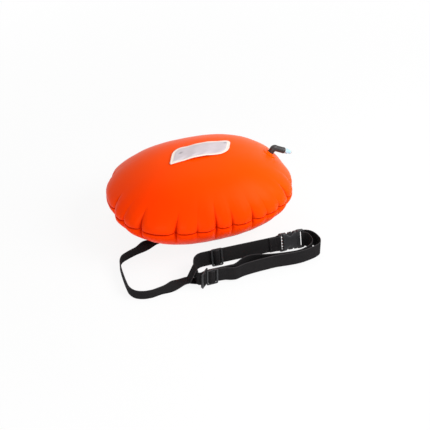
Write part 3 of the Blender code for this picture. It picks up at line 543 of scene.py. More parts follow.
def strapMesh(route, width, wall, side, closed=False):
    # A grid rolled into the strap's section, whose UV map holds metres along and across.
    # The side across the strap is one direction, or a function of the place.
    section = strapSection(width, wall)
    rows = len(route) if closed else len(route) - 1
    bm = bmesh.new()
    bmesh.ops.create_grid(bm, x_segments=rows, y_segments=len(section), size=0.5)
    distances = routeDistances(route)
    if closed:
        distances.append(distances[-1] + (route[0] - route[-1]).length)
    frames = []
    for i, point in enumerate(route):
        if closed:
            before, after = route[i - 1], route[(i + 1) % len(route)]
        else:
            before, after = route[max(i - 1, 0)], route[min(i + 1, len(route) - 1)]
        run = (after - before).normalized()
        sideHere = side(i, point) if callable(side) else side
        frames.append((point, sideHere, run.cross(sideHere).normalized()))
    uvLayer = bm.loops.layers.uv.new("strap")
    spots = {}
    for vert in bm.verts:
        i = round((vert.co.x + 0.5) * rows)
        k = round((vert.co.y + 0.5) * len(section))
        across, off = section[k % len(section)]
        spots[vert] = (distances[i], across)
        point, sideHere, out = frames[i % len(route)]
        vert.co = point + sideHere * across + out * off
    for face in bm.faces:
        for loop in face.loops:
            loop[uvLayer].uv = spots[loop.vert]
    bmesh.ops.remove_doubles(bm, verts=bm.verts, dist=mergeReach)
    if not closed:
        bmesh.ops.holes_fill(bm, edges=[edge for edge in bm.edges if edge.is_boundary])
    turnOutwards(bm)
    return bm


def bandAround(pulleys, segments=16):
    # A taut closed band round circles (x, y, radius), listed anticlockwise, as in the CAD source
    points = []
    count = len(pulleys)
    starts, ends = [0.0] * count, [0.0] * count
    for i in range(count):
        x0, y0, r0 = pulleys[i]
        x1, y1, r1 = pulleys[(i + 1) % count]
        heading = math.atan2(y1 - y0, x1 - x0)
        tilt = math.asin((r0 - r1) / math.hypot(x1 - x0, y1 - y0))
        ends[i] = heading - math.pi / 2 + tilt
        starts[(i + 1) % count] = ends[i]
    for (x, y, radius), start, end in zip(pulleys, starts, ends):
        while end < start:
            end += 2 * math.pi
        for k in range(segments + 1):
            turn = start + (end - start) * k / segments
            points.append((x + radius * math.cos(turn), y + radius * math.sin(turn)))
    return points


def evenBand(band, step):
    # The same closed band with more points on its straight runs
    points = []
    for a, b in zip(band, band[1:] + band[:1]):
        count = max(round((b - a).length / step), 1)
        points += [a.lerp(b, i / count) for i in range(count)]
    return points


# The float's surface, from the frame's own boxes

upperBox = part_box("upper_panel")
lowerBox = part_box("lower_panel")
halfLength = upperBox[1].x
halfWidth = -upperBox[0].y
seamZ = (upperBox[0].z + lowerBox[1].z) / 2
halfHeight = seamZ
bellyFlat = 0.0005
outlinePower = 2.5
sectionPower = 0.6
drapeTries = 8
handleDip = {"x": 0.0055, "y": 0.0090, "depth": 0.0055, "length": 0.065, "width": 0.050}


def dipAt(x, y, side):
    # How far the taut handle holds the upper skin down
    if side < 0:
        return 0.0
    dip = handleDip
    away = ((x - dip["x"]) / dip["length"]) ** 2 + ((y - dip["y"]) / dip["width"]) ** 2
    return dip["depth"] * math.exp(-away)


def outlineReach(turn):
    power = outlinePower
    total = abs(math.cos(turn) / halfLength) ** power + abs(math.sin(turn) / halfWidth) ** power
    return total ** (-1 / power)


def skinRise(x, y, side):
    power = outlinePower
    share = (abs(x / halfLength) ** power + abs(y / halfWidth) ** power) ** (1 / power)
    crown = halfHeight + (bellyFlat if side < 0 else 0.0)
    return crown * max(1 - share**2, 0) ** sectionPower - dipAt(x, y, side)


def skinNormal(x, y, side):
    step = halfLength * 1e-4
    slopeX = (skinRise(x + step, y, side) - skinRise(x - step, y, side)) / (2 * step)
    slopeY = (skinRise(x, y + step, side) - skinRise(x, y - step, side)) / (2 * step)
    return Vector((-slopeX, -slopeY, side)).normalized()


def ontoSkin(point, direction, side):
    point = point.copy()
    for _ in range(drapeTries):
        miss = point.z - (seamZ + side * skinRise(point.x, point.y, side))
        normal = skinNormal(point.x, point.y, side)
        point -= direction * (miss * normal.z / normal.dot(direction))
    return point


def skinFrame(x, y, side, heading):
    normal = skinNormal(x, y, side)
    along = (heading - normal * heading.dot(normal)).normalized()
    return Vector((x, y, seamZ + side * skinRise(x, y, side))), normal, along, normal.cross(along)


def drape(place, side, along, across, off):
    origin, normal, axisU, axisV = place
    return ontoSkin(origin + axisU * along + axisV * across, normal, side) + normal * off


# Leash: the flat webbing cord, with its sewn loops and the tab under the float

leashShape = {
    "width": strapWidths["leash"], "wall": 0.0016, "gap": 0.0003, "slack": 0.0007,
    "flatLength": 0.012, "twistLength": 0.065, "straight": 0.0075,
    "seam": 0.0012,  # how far each end runs into its sewn loop
    "step": 0.0016, "loopStep": 0.002,
    "route": (
        (-0.1360, -0.0479, 0.0100), (-0.1600, -0.0590, 0.0128), (-0.1850, -0.0705, 0.0128),
        (-0.2080, -0.0800, 0.0128), (-0.2250, -0.0900, 0.0128), (-0.2340, -0.1070, 0.0128),
        (-0.2370, -0.1300, 0.0128), (-0.2385, -0.1550, 0.0128), (-0.2390, -0.1800, 0.0128),
        (-0.2375, -0.2030, 0.0128), (-0.2290, -0.2190, 0.0128), (-0.2130, -0.2280, 0.0128),
        (-0.1920, -0.2305, 0.0128), (-0.1710, -0.2270, 0.0128), (-0.1500, -0.2235, 0.0128),
        (-0.1310, -0.2170, 0.0120), (-0.1140, -0.2108, 0.0106),
    ),
}
anchorShape = {
    "x": -0.095, "y": -0.033, "turn": math.radians(199.9),
    "patchRadius": 0.026, "patchWall": 0.0010, "patchEye": 0.0001, "patchSteps": 64,
    # The patch's face as shares of its radius and wall: its rim, the weld bead and the flat middle
    "patchFace": (
        (0.5, 0.0), (1.0, 0.0), (1.0, 0.5), (0.985, 0.85), (0.95, 1.0), (0.93, 0.7),
        (0.88, 0.6), (0.84, 1.0), (0.6, 1.0), (0.3, 1.0),
    ),
    "tabLength": 0.042, "tabWidth": strapWidths["tab"], "bridgeShare": 0.85,
    "loopLength": 0.022, "loopSink": 0.0062, "noseRadius": 0.0012,
}
beltLoopShape = {"x": -0.0790, "y": -0.2085, "lap": 0.0155, "lapZ": 0.0100}
beltShape = {
    "width": strapWidths["belt"], "wall": 0.0016,
    "backY": -0.163, "frontY": -0.2250, "leftX": -0.0790, "rightX": 0.2375, "tailX": 0.0135,
    "lean": math.radians(15), "leanStart": 0.55, "leanSpan": 0.30,
    "socketHeight": 0.0460, "socketDepth": 0.0112,
    "lapLength": 0.0270, "step": 0.0012, "wrapStep": 0.0007,
}
socketUpright = beltShape["socketHeight"] * math.cos(beltShape["lean"])
socketAslant = beltShape["socketDepth"] * math.sin(beltShape["lean"])
strapMidZ = (socketUpright + socketAslant) / 2


def leashStand(done, total):
    # How far the leash stands on its edge: flat at its sewn ends, upright between
    flat, twist = leashShape["flatLength"], leashShape["twistLength"]
    share = within((done - flat) / twist) * within((total - done - flat) / twist)
    return math.pi / 2 * eased(share)


def makeAnchor():
    heading = Vector((math.cos(anchorShape["turn"]), math.sin(anchorShape["turn"]), 0))
    place = skinFrame(anchorShape["x"], anchorShape["y"], -1, heading)
    origin, normal, along, across = place
    wall, gap = leashShape["wall"], leashShape["gap"]
    patchFace = gap + anchorShape["patchWall"]

    # The welded patch: a spun disc with a weld bead near its rim
    radius, thick, eye = anchorShape["patchRadius"], anchorShape["patchWall"], anchorShape["patchEye"]
    outline = [(radius * share, gap + thick * rise) for share, rise in anchorShape["patchFace"]]
    bm = spunProfile([(eye, gap), *outline, (eye, patchFace)], anchorShape["patchSteps"])
    for vert in bm.verts:
        vert.co = drape(place, -1, vert.co.x, vert.co.y, vert.co.z)
    turnOutwards(bm)
    newPiece("anchorPatch", bm, floatVinyl, "root", ["anchor_patch"])

    foot = patchFace + gap + wall / 2
    loopRadius = wall + leashShape["slack"]
    bridge = patchFace + gap + wall / 2 + loopRadius
    leg = leashShape["width"] / 2 + gap + wall
    tabHalf = anchorShape["tabLength"] / 2
    path = [
        (0, bridge), (leg * anchorShape["bridgeShare"], bridge), (leg - gap, bridge - gap),
        (leg + gap, foot + gap), ((tabHalf + leg) / 2 + gap, foot), (tabHalf, foot),
    ]
    path = [(-v, off) for v, off in path[:0:-1]] + path
    route = [drape(place, -1, 0.0, v, off) for v, off in path]
    bm = strapMesh(route, anchorShape["tabWidth"], wall, along)
    newPiece("anchorTab", bm, tabWebbing, "root", ["anchor_tab"])

    barHalf = anchorShape["tabWidth"] / 2 - wall / 2
    nose = (anchorShape["loopLength"], bridge + anchorShape["loopSink"])
    noseRadius = anchorShape["noseRadius"]
    pulleys = ((-barHalf, bridge, loopRadius), (barHalf, bridge, loopRadius), (*nose, noseRadius))
    band = [origin + along * u + normal * off for u, off in bandAround(pulleys)]
    band = evenBand(band, leashShape["loopStep"])
    bm = strapMesh(band, leashShape["width"], wall, across, closed=True)
    loop = newPiece("leashAnchorLoop", bm, leashWebbing, "root", ["leash_anchor_loop"])
    nosePoint = origin + along * nose[0] + normal * nose[1]
    level = Vector((along.x, along.y, 0)).normalized()
    return nosePoint + level * (noseRadius + wall / 2 - leashShape["seam"]), level, loop


def spunProfile(outline, steps):
    # A closed profile of (radius, height) turned round Z
    bm = bmesh.new()
    verts = [bm.verts.new((radius, 0, height)) for radius, height in outline]
    edges = [bm.edges.new((a, b)) for a, b in zip(verts, verts[1:] + verts[:1])]
    bmesh.ops.spin(
        bm, geom=verts + edges, cent=(0, 0, 0), axis=(0, 0, 1), angle=2 * math.pi, steps=steps,
        use_merge=True,
    )
    bmesh.ops.remove_doubles(bm, verts=bm.verts, dist=mergeReach)
    turnOutwards(bm)
    return bm


def makeBeltLoop():
    wall = leashShape["wall"]
    radius = wall + leashShape["slack"]
    half = beltShape["width"] / 2 - wall / 2
    lapX = beltLoopShape["x"] - beltLoopShape["lap"]
    pulleys = (
        (beltLoopShape["x"], strapMidZ - half, radius), (beltLoopShape["x"], strapMidZ + half, radius),
        (lapX, beltLoopShape["lapZ"], anchorShape["noseRadius"]),
    )
    band = [Vector((x, beltLoopShape["y"], z)) for x, z in bandAround(pulleys)]
    band = evenBand(band, leashShape["loopStep"])
    bm = strapMesh(band, leashShape["width"], wall, Vector((0, 1, 0)), closed=True)
    loop = newPiece("leashBeltLoop", bm, leashWebbing, "root", ["leash_belt_loop"])
    lastX = lapX - anchorShape["noseRadius"] - wall / 2 + leashShape["seam"]
    return Vector((lastX, beltLoopShape["y"], beltLoopShape["lapZ"])), loop


def makeLeash():
    first, level, anchorLoop = makeAnchor()
    last, beltLoop = makeBeltLoop()
    points = [first, first + level * leashShape["straight"], *leashShape["route"]]
    points += [last - Vector((leashShape["straight"], 0, 0)), last]
    route = smoothRoute(points, leashShape["step"])
    reach = routeDistances(route)
    for i, point in enumerate(route):
        stand = leashStand(reach[i], reach[-1])
        half = (leashShape["width"] * math.sin(stand) + leashShape["wall"] * math.cos(stand)) / 2
        point.z = max(point.z, half + leashShape["gap"])

    def sideAt(i, point):
        before, after = route[max(i - 1, 0)], route[min(i + 1, len(route) - 1)]
        heading = (after - before).normalized()
        levelSide = Vector((-heading.y, heading.x, 0)).normalized()
        up = heading.cross(levelSide).normalized()
        if up.z < 0:
            up = -up
        stand = leashStand(reach[i], reach[-1])
        if reach[i] < reach[-1] / 2:
            levelSide = -levelSide
        return (levelSide * math.cos(stand) + up * math.sin(stand)).normalized()

    bm = strapMesh(route, leashShape["width"], leashShape["wall"], sideAt)
    leash = newPiece("leashStrap", bm, leashWebbing, "root", ["leash"])
    print("leash length", round(reach[-1], 4))
    return last


leashEnd = makeLeash()
print("leash made")


# Float: two welded skins with creases drawn in along the seam

creaseTable = (
    # Degrees round the float, depth share, run share
    (-17.5, 0.8, 0.6), (-30, 1.0, 0.9), (-41, 0.5, 0.35), (-52, 0.35, 0.3), (-63, 0.9, 0.7),
    (-80, 0.7, 0.8), (-94, 1.0, 1.1), (-110, 0.4, 0.4), (-125.7, 1.0, 0.9), (-149, 0.9, 1.0),
    (-162, 0.5, 0.35), (-175, 0.9, 0.8), (155, 1.0, 0.7), (136, 0.8, 0.9), (117, 0.6, 0.5),
    (99, 1.0, 0.9), (78, 0.7, 0.7), (60, 0.9, 0.9), (43, 0.6, 0.5), (27, 0.9, 0.8), (14, 0.6, 0.3),
)
skinLook = {
    "wall": 0.0008, "seamEdge": 0.00015, "seamAllowance": 0.007,
    "columnsPerCrease": 24, "columnDraw": 0.86, "rows": 60, "rowDraw": 1.3,
    # Creases: widest and deepest at the seam, drawn out to a tip that drifts aside
    "creaseDepth": 0.0105, "creaseRun": 0.062, "lowerRun": 0.75, "creaseFar": 0.045,
    "rimHalfWidth": 0.0062, "tipHalfWidth": 0.0020, "narrowing": 1.4, "shallowing": 1.5,
    "drift": 0.0022, "driftTurns": 5.0, "endBoost": 0.6, "endBoostPower": 5,
    # Painted shade: a dark line at a crease's bottom
    "foldShadeBoost": 1.2, "foldShadeFade": 0.8, "foldShadeHalf": 0.52, "foldShadePower": 1.6,
    # Lobes between the creases, calm under the valve
    "lobeSwell": 0.0034, "lobeReach": 0.015, "lobeLength": 0.055, "largestLobe": 1.2,
    "valveCalm": 0.9, "calmReach": 0.03,
    "seamScallop": 0.0018, "scallopReach": 0.02,
    "ripple": 0.0004, "rippleReach": 0.03, "rippleTurns": (67, 2, 9),
    # The seam: its groove, and its wave up at the creases and down at the lobes
    "seamGroove": 0.0022, "grooveHalfWidth": 0.0013, "grooveShade": 0.9, "shadeSpread": 1.1,
    "seamWave": 0.0046, "waveLevel": 0.42, "waveReach": 0.014, "waveHalf": 0.0080,
}
valvePlace = {"fromEnd": 0.039, "y": 0.012}
valveTurn = math.atan2(valvePlace["y"], halfLength - valvePlace["fromEnd"])


def angleBetween(a, b):
    return (a - b + math.pi) % (2 * math.pi) - math.pi


def skinColumns():
    fullTurn = 2 * math.pi
    marks = sorted((math.radians(degrees) % fullTurn, depth, run) for degrees, depth, run in creaseTable)
    columns = []
    for k, (start, _, _) in enumerate(marks):
        end = marks[(k + 1) % len(marks)][0] + (fullTurn if k + 1 == len(marks) else 0.0)
        for i in range(skinLook["columnsPerCrease"]):
            share = i / skinLook["columnsPerCrease"]
            eased = share - math.sin(fullTurn * share) / fullTurn * skinLook["columnDraw"]
            columns.append((start + (end - start) * eased, eased, end - start))
    return columns, marks


def creaseAt(turn, reach, share, fromSeam, side, marks):
    # How far the creases draw the skin in, how dark the painted shade in their fold is, and how far they
    # lift the seam
    look = skinLook
    drawn, foldShade, lift = 0.0, 0.0, 0.0
    ends = 1 + look["endBoost"] * abs(math.cos(turn)) ** look["endBoostPower"]
    for at, depthShare, runShare in marks:
        run = look["creaseRun"] * runShare * (1.0 if side > 0 else look["lowerRun"])
        left = max(1 - fromSeam / run, 0.0)
        drift = look["drift"] * math.sin(at * look["driftTurns"]) * (1 - left)
        away = abs(angleBetween(turn, at) * reach * max(share, 0.05) - drift)
        if away > look["creaseFar"]:
            continue
        widening = look["rimHalfWidth"] - look["tipHalfWidth"]
        half = look["tipHalfWidth"] + widening * left**look["narrowing"]
        depth = look["creaseDepth"] * depthShare * ends * left**look["shallowing"]
        drawn = max(drawn, depth * math.exp(-away / half))
        line = math.exp(-((away / (half * look["foldShadeHalf"])) ** look["foldShadePower"]))
        foldShade = max(foldShade, min(depthShare * look["foldShadeBoost"], 1.0) * left**look["foldShadeFade"] * line)
        lift = max(lift, depthShare * math.exp(-away / look["waveHalf"]))
    return drawn, foldShade, lift


def lobeAt(turn, reach, between, gapTurn, fromSeam):
    # How far the skin swells out between two creases
    look = skinLook
    size = min(gapTurn * reach / look["lobeLength"], look["largestLobe"])
    rounding = math.sin(math.pi * between)
    fromValve = angleBetween(turn, valveTurn) * reach / look["calmReach"]
    calm = 1 - look["valveCalm"] * bell(fromValve)
    swell = look["lobeSwell"] * size * rounding * calm
    swell *= fromSeam / look["lobeReach"] * math.exp(1 - fromSeam / look["lobeReach"])
    swell += look["seamScallop"] * size * math.sqrt(rounding) * math.exp(-fromSeam / look["scallopReach"])
    quick, bend, slow = look["rippleTurns"]
    ripple = math.sin(turn * quick + bend * math.sin(turn * slow))
    return swell + look["ripple"] * ripple * math.exp(-fromSeam / look["rippleReach"])


def makeSkin(name, side, node):
    look, rows = skinLook, skinLook["rows"]
    columns, marks = skinColumns()
    crown = halfHeight + (bellyFlat if side < 0 else 0.0)
    bm = bmesh.new()
    bmesh.ops.create_uvsphere(bm, u_segments=len(columns), v_segments=2 * rows, radius=1.0)
    hidden = [vert for vert in bm.verts if vert.co.z * side < -1e-4]
    bmesh.ops.delete(bm, geom=hidden, context="VERTS")
    # Painted shade in the creases and the seam's groove, kept per point
    foldShadeLayer = bm.verts.layers.float.new("foldShade")
    shares = [math.sin(math.pi / 2 * (1 - (1 - k / rows) ** look["rowDraw"])) for k in range(rows + 1)]
    arcs = {}
    for vert in bm.verts:
        row = round(math.acos(min(abs(vert.co.z), 1.0)) / (math.pi / 2) * rows)
        spot = round(math.atan2(vert.co.y, vert.co.x) / (2 * math.pi) * len(columns)) % len(columns)
        turn, between, gapTurn = columns[spot]
        share = shares[row]
        reach = outlineReach(turn)
        if spot not in arcs:
            arcs[spot] = meridianArcs(reach, crown, shares)
        fromSeam = arcs[spot][row]
        drawn, foldShade, lift = creaseAt(turn, reach, share, fromSeam, side, marks)
        out = lobeAt(turn, reach, between, gapTurn, fromSeam) - drawn
        groove = look["seamGroove"] * bell(fromSeam / look["grooveHalfWidth"])
        shade = bell(fromSeam / (look["grooveHalfWidth"] * look["shadeSpread"]))
        foldShade = max(foldShade, look["grooveShade"] * shade)
        rise = crown * max(1 - share**2, 0.0) ** sectionPower
        slope = 2 * sectionPower * crown * share * max(1 - share**2, 1e-6) ** (sectionPower - 1)
        normal = Vector((slope, reach)).normalized()
        radial = reach * share + normal.x * out - groove
        rise -= dipAt(reach * share * math.cos(turn), reach * share * math.sin(turn), side)
        height = max(rise + normal.y * out, 0.0)
        wave = look["seamWave"] * (lift - look["waveLevel"]) * math.exp(-fromSeam / look["waveReach"])
        z = seamZ + side * (height + look["seamEdge"]) + wave
        if side < 0:
            z = max(z, 0.0)
        vert.co = Vector((radial * math.cos(turn), radial * math.sin(turn), z))
        vert[foldShadeLayer] = min(foldShade, 1.0)
    rim = [e for e in bm.edges if e.is_boundary]
    turnedIn = bmesh.ops.extrude_edge_only(bm, edges=rim)["geom"]
    for vert in (item for item in turnedIn if isinstance(item, bmesh.types.BMVert)):
        flat = Vector((vert.co.x, vert.co.y, 0))
        vert.co -= flat.normalized() * look["seamAllowance"]
    turnOutwards(bm)
    if max(bm.faces, key=lambda face: face.calc_center_median().z * side).normal.z * side < 0:
        bmesh.ops.reverse_faces(bm, faces=bm.faces)
    vinyl = floatVinyl if side > 0 else bellyVinyl
    piece = newPiece(name, bm, vinyl, "root", [node])
    addWall(piece, look["wall"])


def meridianArcs(reach, crown, shares):
    # Distance along the skin from the seam, for every row of one column
    spots = [(reach * share, crown * max(1 - share**2, 0.0) ** sectionPower) for share in shares]
    arcs = [0.0] * len(spots)
    for k in range(len(spots) - 2, -1, -1):
        arcs[k] = arcs[k + 1] + math.dist(spots[k], spots[k + 1])
    return arcs


makeSkin("upperSkin", 1, "upper_panel")
makeSkin("lowerSkin", -1, "lower_panel")
print("float made")


# Carry handle: a soft arched strap with a welded border

handleShape = {
    "x": handleDip["x"], "y": handleDip["y"],
    "length": 0.146, "width": 0.056, "wall": 0.0014, "columns": 120, "rows": 40,
    "rise": 0.0030, "weld": 0.030, "slant": 0.013, "fullness": 1.3,
    "tightCorners": (0.006, 0.015), "wideCorner": 0.023,
    "patchWall": 0.0010, "patchMargin": 0.006, "patchColumns": 80, "patchRows": 16, "gap": 0.0003,
    # The border is wider at the welded ends, with a bead on its middle
    "border": 0.0042, "endBorder": 0.0050, "borderBlur": 0.0012,
    "bead": 0.0007, "beadPlace": 0.55, "beadHalf": 0.0011,
    # The soft middle: how far it puffs up and crumples inside the border
    "puff": 0.0014, "puffReach": 0.009, "puffPower": 0.7,
    "crumple": 0.00035, "crumpleTurns": (190, 3, 140), "crumpleReach": 0.008,
    # The pinched weld marks, darkened with painted shade: along, across, radius
    "marks": ((-0.0510, 0.0044, 0.0052), (0.0600, 0.0150, 0.0034)), "markSquash": 1.4,
}


def handleSpan(along, length, width, tight, wide):
    # The strap's two sides at one place along it: tight corners low on the left and high on the right
    def reach(corner, end):
        past = max(end * along - (length / 2 - corner), 0.0)
        return width / 2 - corner + math.sqrt(max(corner**2 - past**2, 0.0))
    low = -min(reach(tight[0], -1), reach(wide, 1))
    high = min(reach(wide, -1), reach(tight[1], 1))
    return low, high


def handleSheet(length, width, tight, wide, columns, rows):
    # A grid drawn into the strap's outline, and the outline itself, both before they are laid on the skin
    bm = bmesh.new()
    bmesh.ops.create_grid(bm, x_segments=columns, y_segments=rows, size=0.5)
    for vert in bm.verts:
        along = length / 2 * math.sin(math.pi * vert.co.x)
        low, high = handleSpan(along, length, width, tight, wide)
        vert.co = Vector((along, low + (high - low) * (vert.co.y + 0.5), 0))
    outline = [vert.co.copy() for vert in bm.verts if vert.is_boundary]
    return bm, outline


def layOnSkin(bm, place, slant, width, lift):
    for vert in bm.verts:
        along, across = vert.co.x, vert.co.y
        raised = lift(along, across)
        vert.co = drape(place, 1, along + slant * 2 * across / width, across, 0.0) + place[1] * raised
    turnOutwards(bm)
    if sum(face.normal.z for face in bm.faces) < 0:
        bmesh.ops.reverse_faces(bm, faces=bm.faces)


def makeHandle():
    h = handleShape
    place = skinFrame(h["x"], h["y"], 1, Vector((1, 0, 0)))
    freeHalf = h["length"] / 2 - h["weld"]
    foot = 2 * h["gap"] + h["patchWall"] + h["wall"]
    corners = (h["tightCorners"], h["wideCorner"])
    bm, outline = handleSheet(h["length"], h["width"], *corners, h["columns"], h["rows"])
    borderLayer = bm.verts.layers.float.new("border")
    # Painted shade at the pinched weld marks, kept per point
    weldShadeLayer = bm.verts.layers.float.new("weld")
    inwardAt, markAt = {}, {}
    for vert in bm.verts:
        along, across = vert.co.x, vert.co.y
        inward = min((vert.co - point).length_squared for point in outline) ** 0.5
        mark = max(
            math.exp(-((along - u) ** 2 + (h["markSquash"] * (across - v)) ** 2) / radius**2)
            for u, v, radius in h["marks"]
        )
        nearEnd = within((abs(along) - freeHalf) / h["weld"]) ** 2
        border = h["border"] + h["endBorder"] * nearEnd
        vert[borderLayer] = 1 - within((inward - border) / h["borderBlur"])
        vert[weldShadeLayer] = mark
        inwardAt[(along, across)] = inward
        markAt[(along, across)] = mark

    def lift(along, across):
        arch = max(1 - abs(along) / freeHalf, 0.0)
        bump = math.sin(math.pi / 2 * min(arch * h["fullness"], 1.0)) ** 2
        inward = inwardAt[(along, across)]
        fromBead = (inward - h["border"] * h["beadPlace"]) / h["beadHalf"]
        bead = h["bead"] * bell(fromBead)
        puffed = within((inward - h["border"]) / h["puffReach"])
        quick, bend, slow = h["crumpleTurns"]
        crumple = h["crumple"] * math.sin(along * quick + bend * math.sin(across * slow))
        crumple *= min(inward / h["crumpleReach"], 1.0)
        soft = (h["puff"] * puffed ** h["puffPower"] + crumple) * (1 - markAt[(along, across)])
        return foot + h["rise"] * bump + bead + soft

    layOnSkin(bm, place, h["slant"], h["width"], lift)
    piece = newPiece("carryHandle", bm, handleVinyl, "root", ["carry_handle"])
    addWall(piece, h["wall"])

    margin = h["patchMargin"]
    bm, outline = handleSheet(
        h["length"] - margin, h["width"] - 2 * margin, h["tightCorners"], h["wideCorner"] - margin,
        h["patchColumns"], h["patchRows"],
    )
    layOnSkin(bm, place, h["slant"], h["width"], lambda along, across: h["gap"] + h["patchWall"])
    patch = newPiece("handlePatch", bm, floatVinyl, "root", ["handle_patch"])
    addWall(patch, h["patchWall"])


makeHandle()
print("handle made")


# Oral valve: welded flange, rubber elbow, sleeve, nozzle and plunger

valveShape = {
    "flangeRadius": 0.0195, "flangeWall": 0.0012, "bossHeight": 0.0026, "bossWall": 0.0030,
    "flangeSteps": 72,
    # The flange's face as shares of its radius and wall, with the weld bead near its rim
    "flangeBack": ((0.7, 0.0), (1.0, 0.0), (1.0, 0.5), (0.985, 0.8)),
    "flangeFace": ((0.96, 1.0), (0.93, 0.9), (0.90, 0.72), (0.87, 0.9), (0.84, 1.0), (0.70, 1.0)),
    # The boss, in metres from its foot, from its outer edge and from the hole's edge
    "bossFoot": ((0.0006, 0.0), (0.0001, 0.0005)),
    "bossEdge": ((-0.0006, -0.0008), (-0.0012, -0.0002)),
    "holeEdge": ((0.0009, 0.0), (0.0003, -0.0002), (0.0, -0.0005)),
    "tubeRadius": 0.0075, "boreRadius": 0.0055, "tubeSides": 48, "below": 0.0035,
    "riser": 0.0100, "riserStops": (0.45, 1.0),
    "bendRadius": 0.0088, "bendTurn": math.radians(80), "bendSteps": 18, "upper": 0.0225,
    "gap": 0.0003, "corner": 0.0024,
    "endSwell": (
        (0.5, 1.0), (0.80, 1.0), (0.85, 1.03), (0.90, 1.045), (0.95, 1.03), (0.985, 0.985), (1.0, 0.94),
    ),
}
nozzleShape = {
    "start": 0.0026, "length": 0.0180, "bore": 0.0045, "buttonHole": 0.0019, "innerFloor": 0.0137,
    "steps": 84, "flutes": 14, "fluteDepth": 0.00045, "fluteFrom": 0.18, "fluteTo": 0.40,
    "tipFrom": 0.80, "tipBlur": 0.03,
    # Radius and height above the base: the rim, the gripped collar, the neck and the lip
    "outside": (
        (0.0061, 0.0), (0.0065, 0.0002), (0.0066, 0.0006), (0.0066, 0.0018), (0.006303, 0.00252),
        (0.006303, 0.00306), (0.0066, 0.00378), (0.0066, 0.00594), (0.006402, 0.00666),
        (0.005822, 0.0077), (0.00533, 0.0086), (0.005002, 0.01116), (0.004592, 0.0144),
        (0.00451, 0.0162), (0.004182, 0.01728), (0.003526, 0.0179), (0.003116, 0.0180),
    ),
}


def onFrame(bm, origin, axisX, axisY, axisZ):
    matrix = Matrix((axisX, axisY, axisZ)).transposed().to_4x4()
    matrix.translation = origin
    moveMesh(bm, matrix)


def makeValve():
    v = valveShape
    place = skinFrame(halfLength - valvePlace["fromEnd"], valvePlace["y"], 1, Vector((1, 0, 0)))
    origin, normal, out, across = place
    gap, rim, wall = v["gap"], v["flangeRadius"], v["flangeWall"]
    hole = v["tubeRadius"] + gap
    flangeTop = gap + wall
    bossTop = flangeTop + v["bossHeight"]
    bossRim = hole + v["bossWall"]
    outline = [(hole, gap)]
    outline += [(rim * share, gap + wall * rise) for share, rise in v["flangeBack"]]
    outline += [(rim * share, flangeTop * rise) for share, rise in v["flangeFace"]]
    outline += [(bossRim + aside, flangeTop + up) for aside, up in v["bossFoot"]]
    outline += [(bossRim + aside, bossTop + up) for aside, up in v["bossEdge"]]
    outline += [(hole + aside, bossTop + up) for aside, up in v["holeEdge"]]
    bm = spunProfile(outline, v["flangeSteps"])
    for vert in bm.verts:
        vert.co = drape(place, 1, vert.co.x, vert.co.y, vert.co.z)
    turnOutwards(bm)
    newPiece(
        "valveFlange", bm, floatVinyl, "root", ["valve_flange"], sharpAngles["flange"],
    )

    # The elbow: a ring that is drawn up, swept round the bend and drawn out
    bm = bmesh.new()
    made = bmesh.ops.create_circle(bm, cap_ends=False, segments=v["tubeSides"], radius=v["tubeRadius"])
    centre = Vector((0, 0, -v["below"]))
    bmesh.ops.translate(bm, verts=made["verts"], vec=centre)
    for share in v["riserStops"]:
        centre = extendRing(bm, centre, Vector((0, 0, v["riser"] * share)), 1.0)
    bend, bendRadius = v["bendTurn"], v["bendRadius"]
    pivot = Vector((bendRadius, 0, v["riser"]))
    edges = openRing(bm, centre)
    verts = list({vert for edge in edges for vert in edge.verts})
    bmesh.ops.spin(
        bm, geom=verts + edges, cent=pivot, axis=(0, 1, 0), angle=bend, steps=v["bendSteps"],
        use_merge=False,
    )
    end = pivot + bendRadius * Vector((-math.cos(bend), 0, math.sin(bend)))
    axis = Vector((math.sin(bend), 0, math.cos(bend)))
    centre, last = end, 1.0
    for share, swell in v["endSwell"]:
        centre = extendRing(bm, centre, end + axis * v["upper"] * share, swell / last)
        last = swell

    # The outside of the bend is pushed out into a blunt corner
    for vert in bm.verts:
        spoke = vert.co - pivot
        turn = math.atan2(spoke.z, -spoke.x)
        past = math.hypot(spoke.x, spoke.z) - bendRadius
        if 0 < turn < bend and past > 0:
            push = v["corner"] * math.sin(math.pi * turn / bend) * past / v["tubeRadius"]
            vert.co += Vector((spoke.x, 0, spoke.z)).normalized() * push
    turnOutwards(bm)
    onFrame(bm, origin, out, -across, normal)
    turnOutwards(bm)
    tube = newPiece(
        "valveTube", bm, valveRubber, "root", ["valve_tube"], sharpAngles["tube"],
    )
    addWall(tube, v["tubeRadius"] - v["boreRadius"])

    tip = end + axis * v["upper"]
    tipWorld = origin + out * tip.x + normal * tip.z
    axisWorld = out * axis.x + normal * axis.z
    makeNozzle(tipWorld, axisWorld, axisWorld.cross(across), across)


ringReach = 1.25


def openRing(bm, centre):
    # The open ring of the tube whose points lie round the centre
    reach = valveShape["tubeRadius"] * ringReach
    return [
        edge for edge in bm.edges
        if len(edge.link_faces) < 2 and all((vert.co - centre).length < reach for vert in edge.verts)
    ]


def extendRing(bm, centre, target, scale):
    # Draws the open ring out to the target, and gives the target as the new centre
    made = bmesh.ops.extrude_edge_only(bm, edges=openRing(bm, centre))["geom"]
    for item in made:
        if isinstance(item, bmesh.types.BMVert):
            item.co = target + (item.co - centre) * scale
    return target


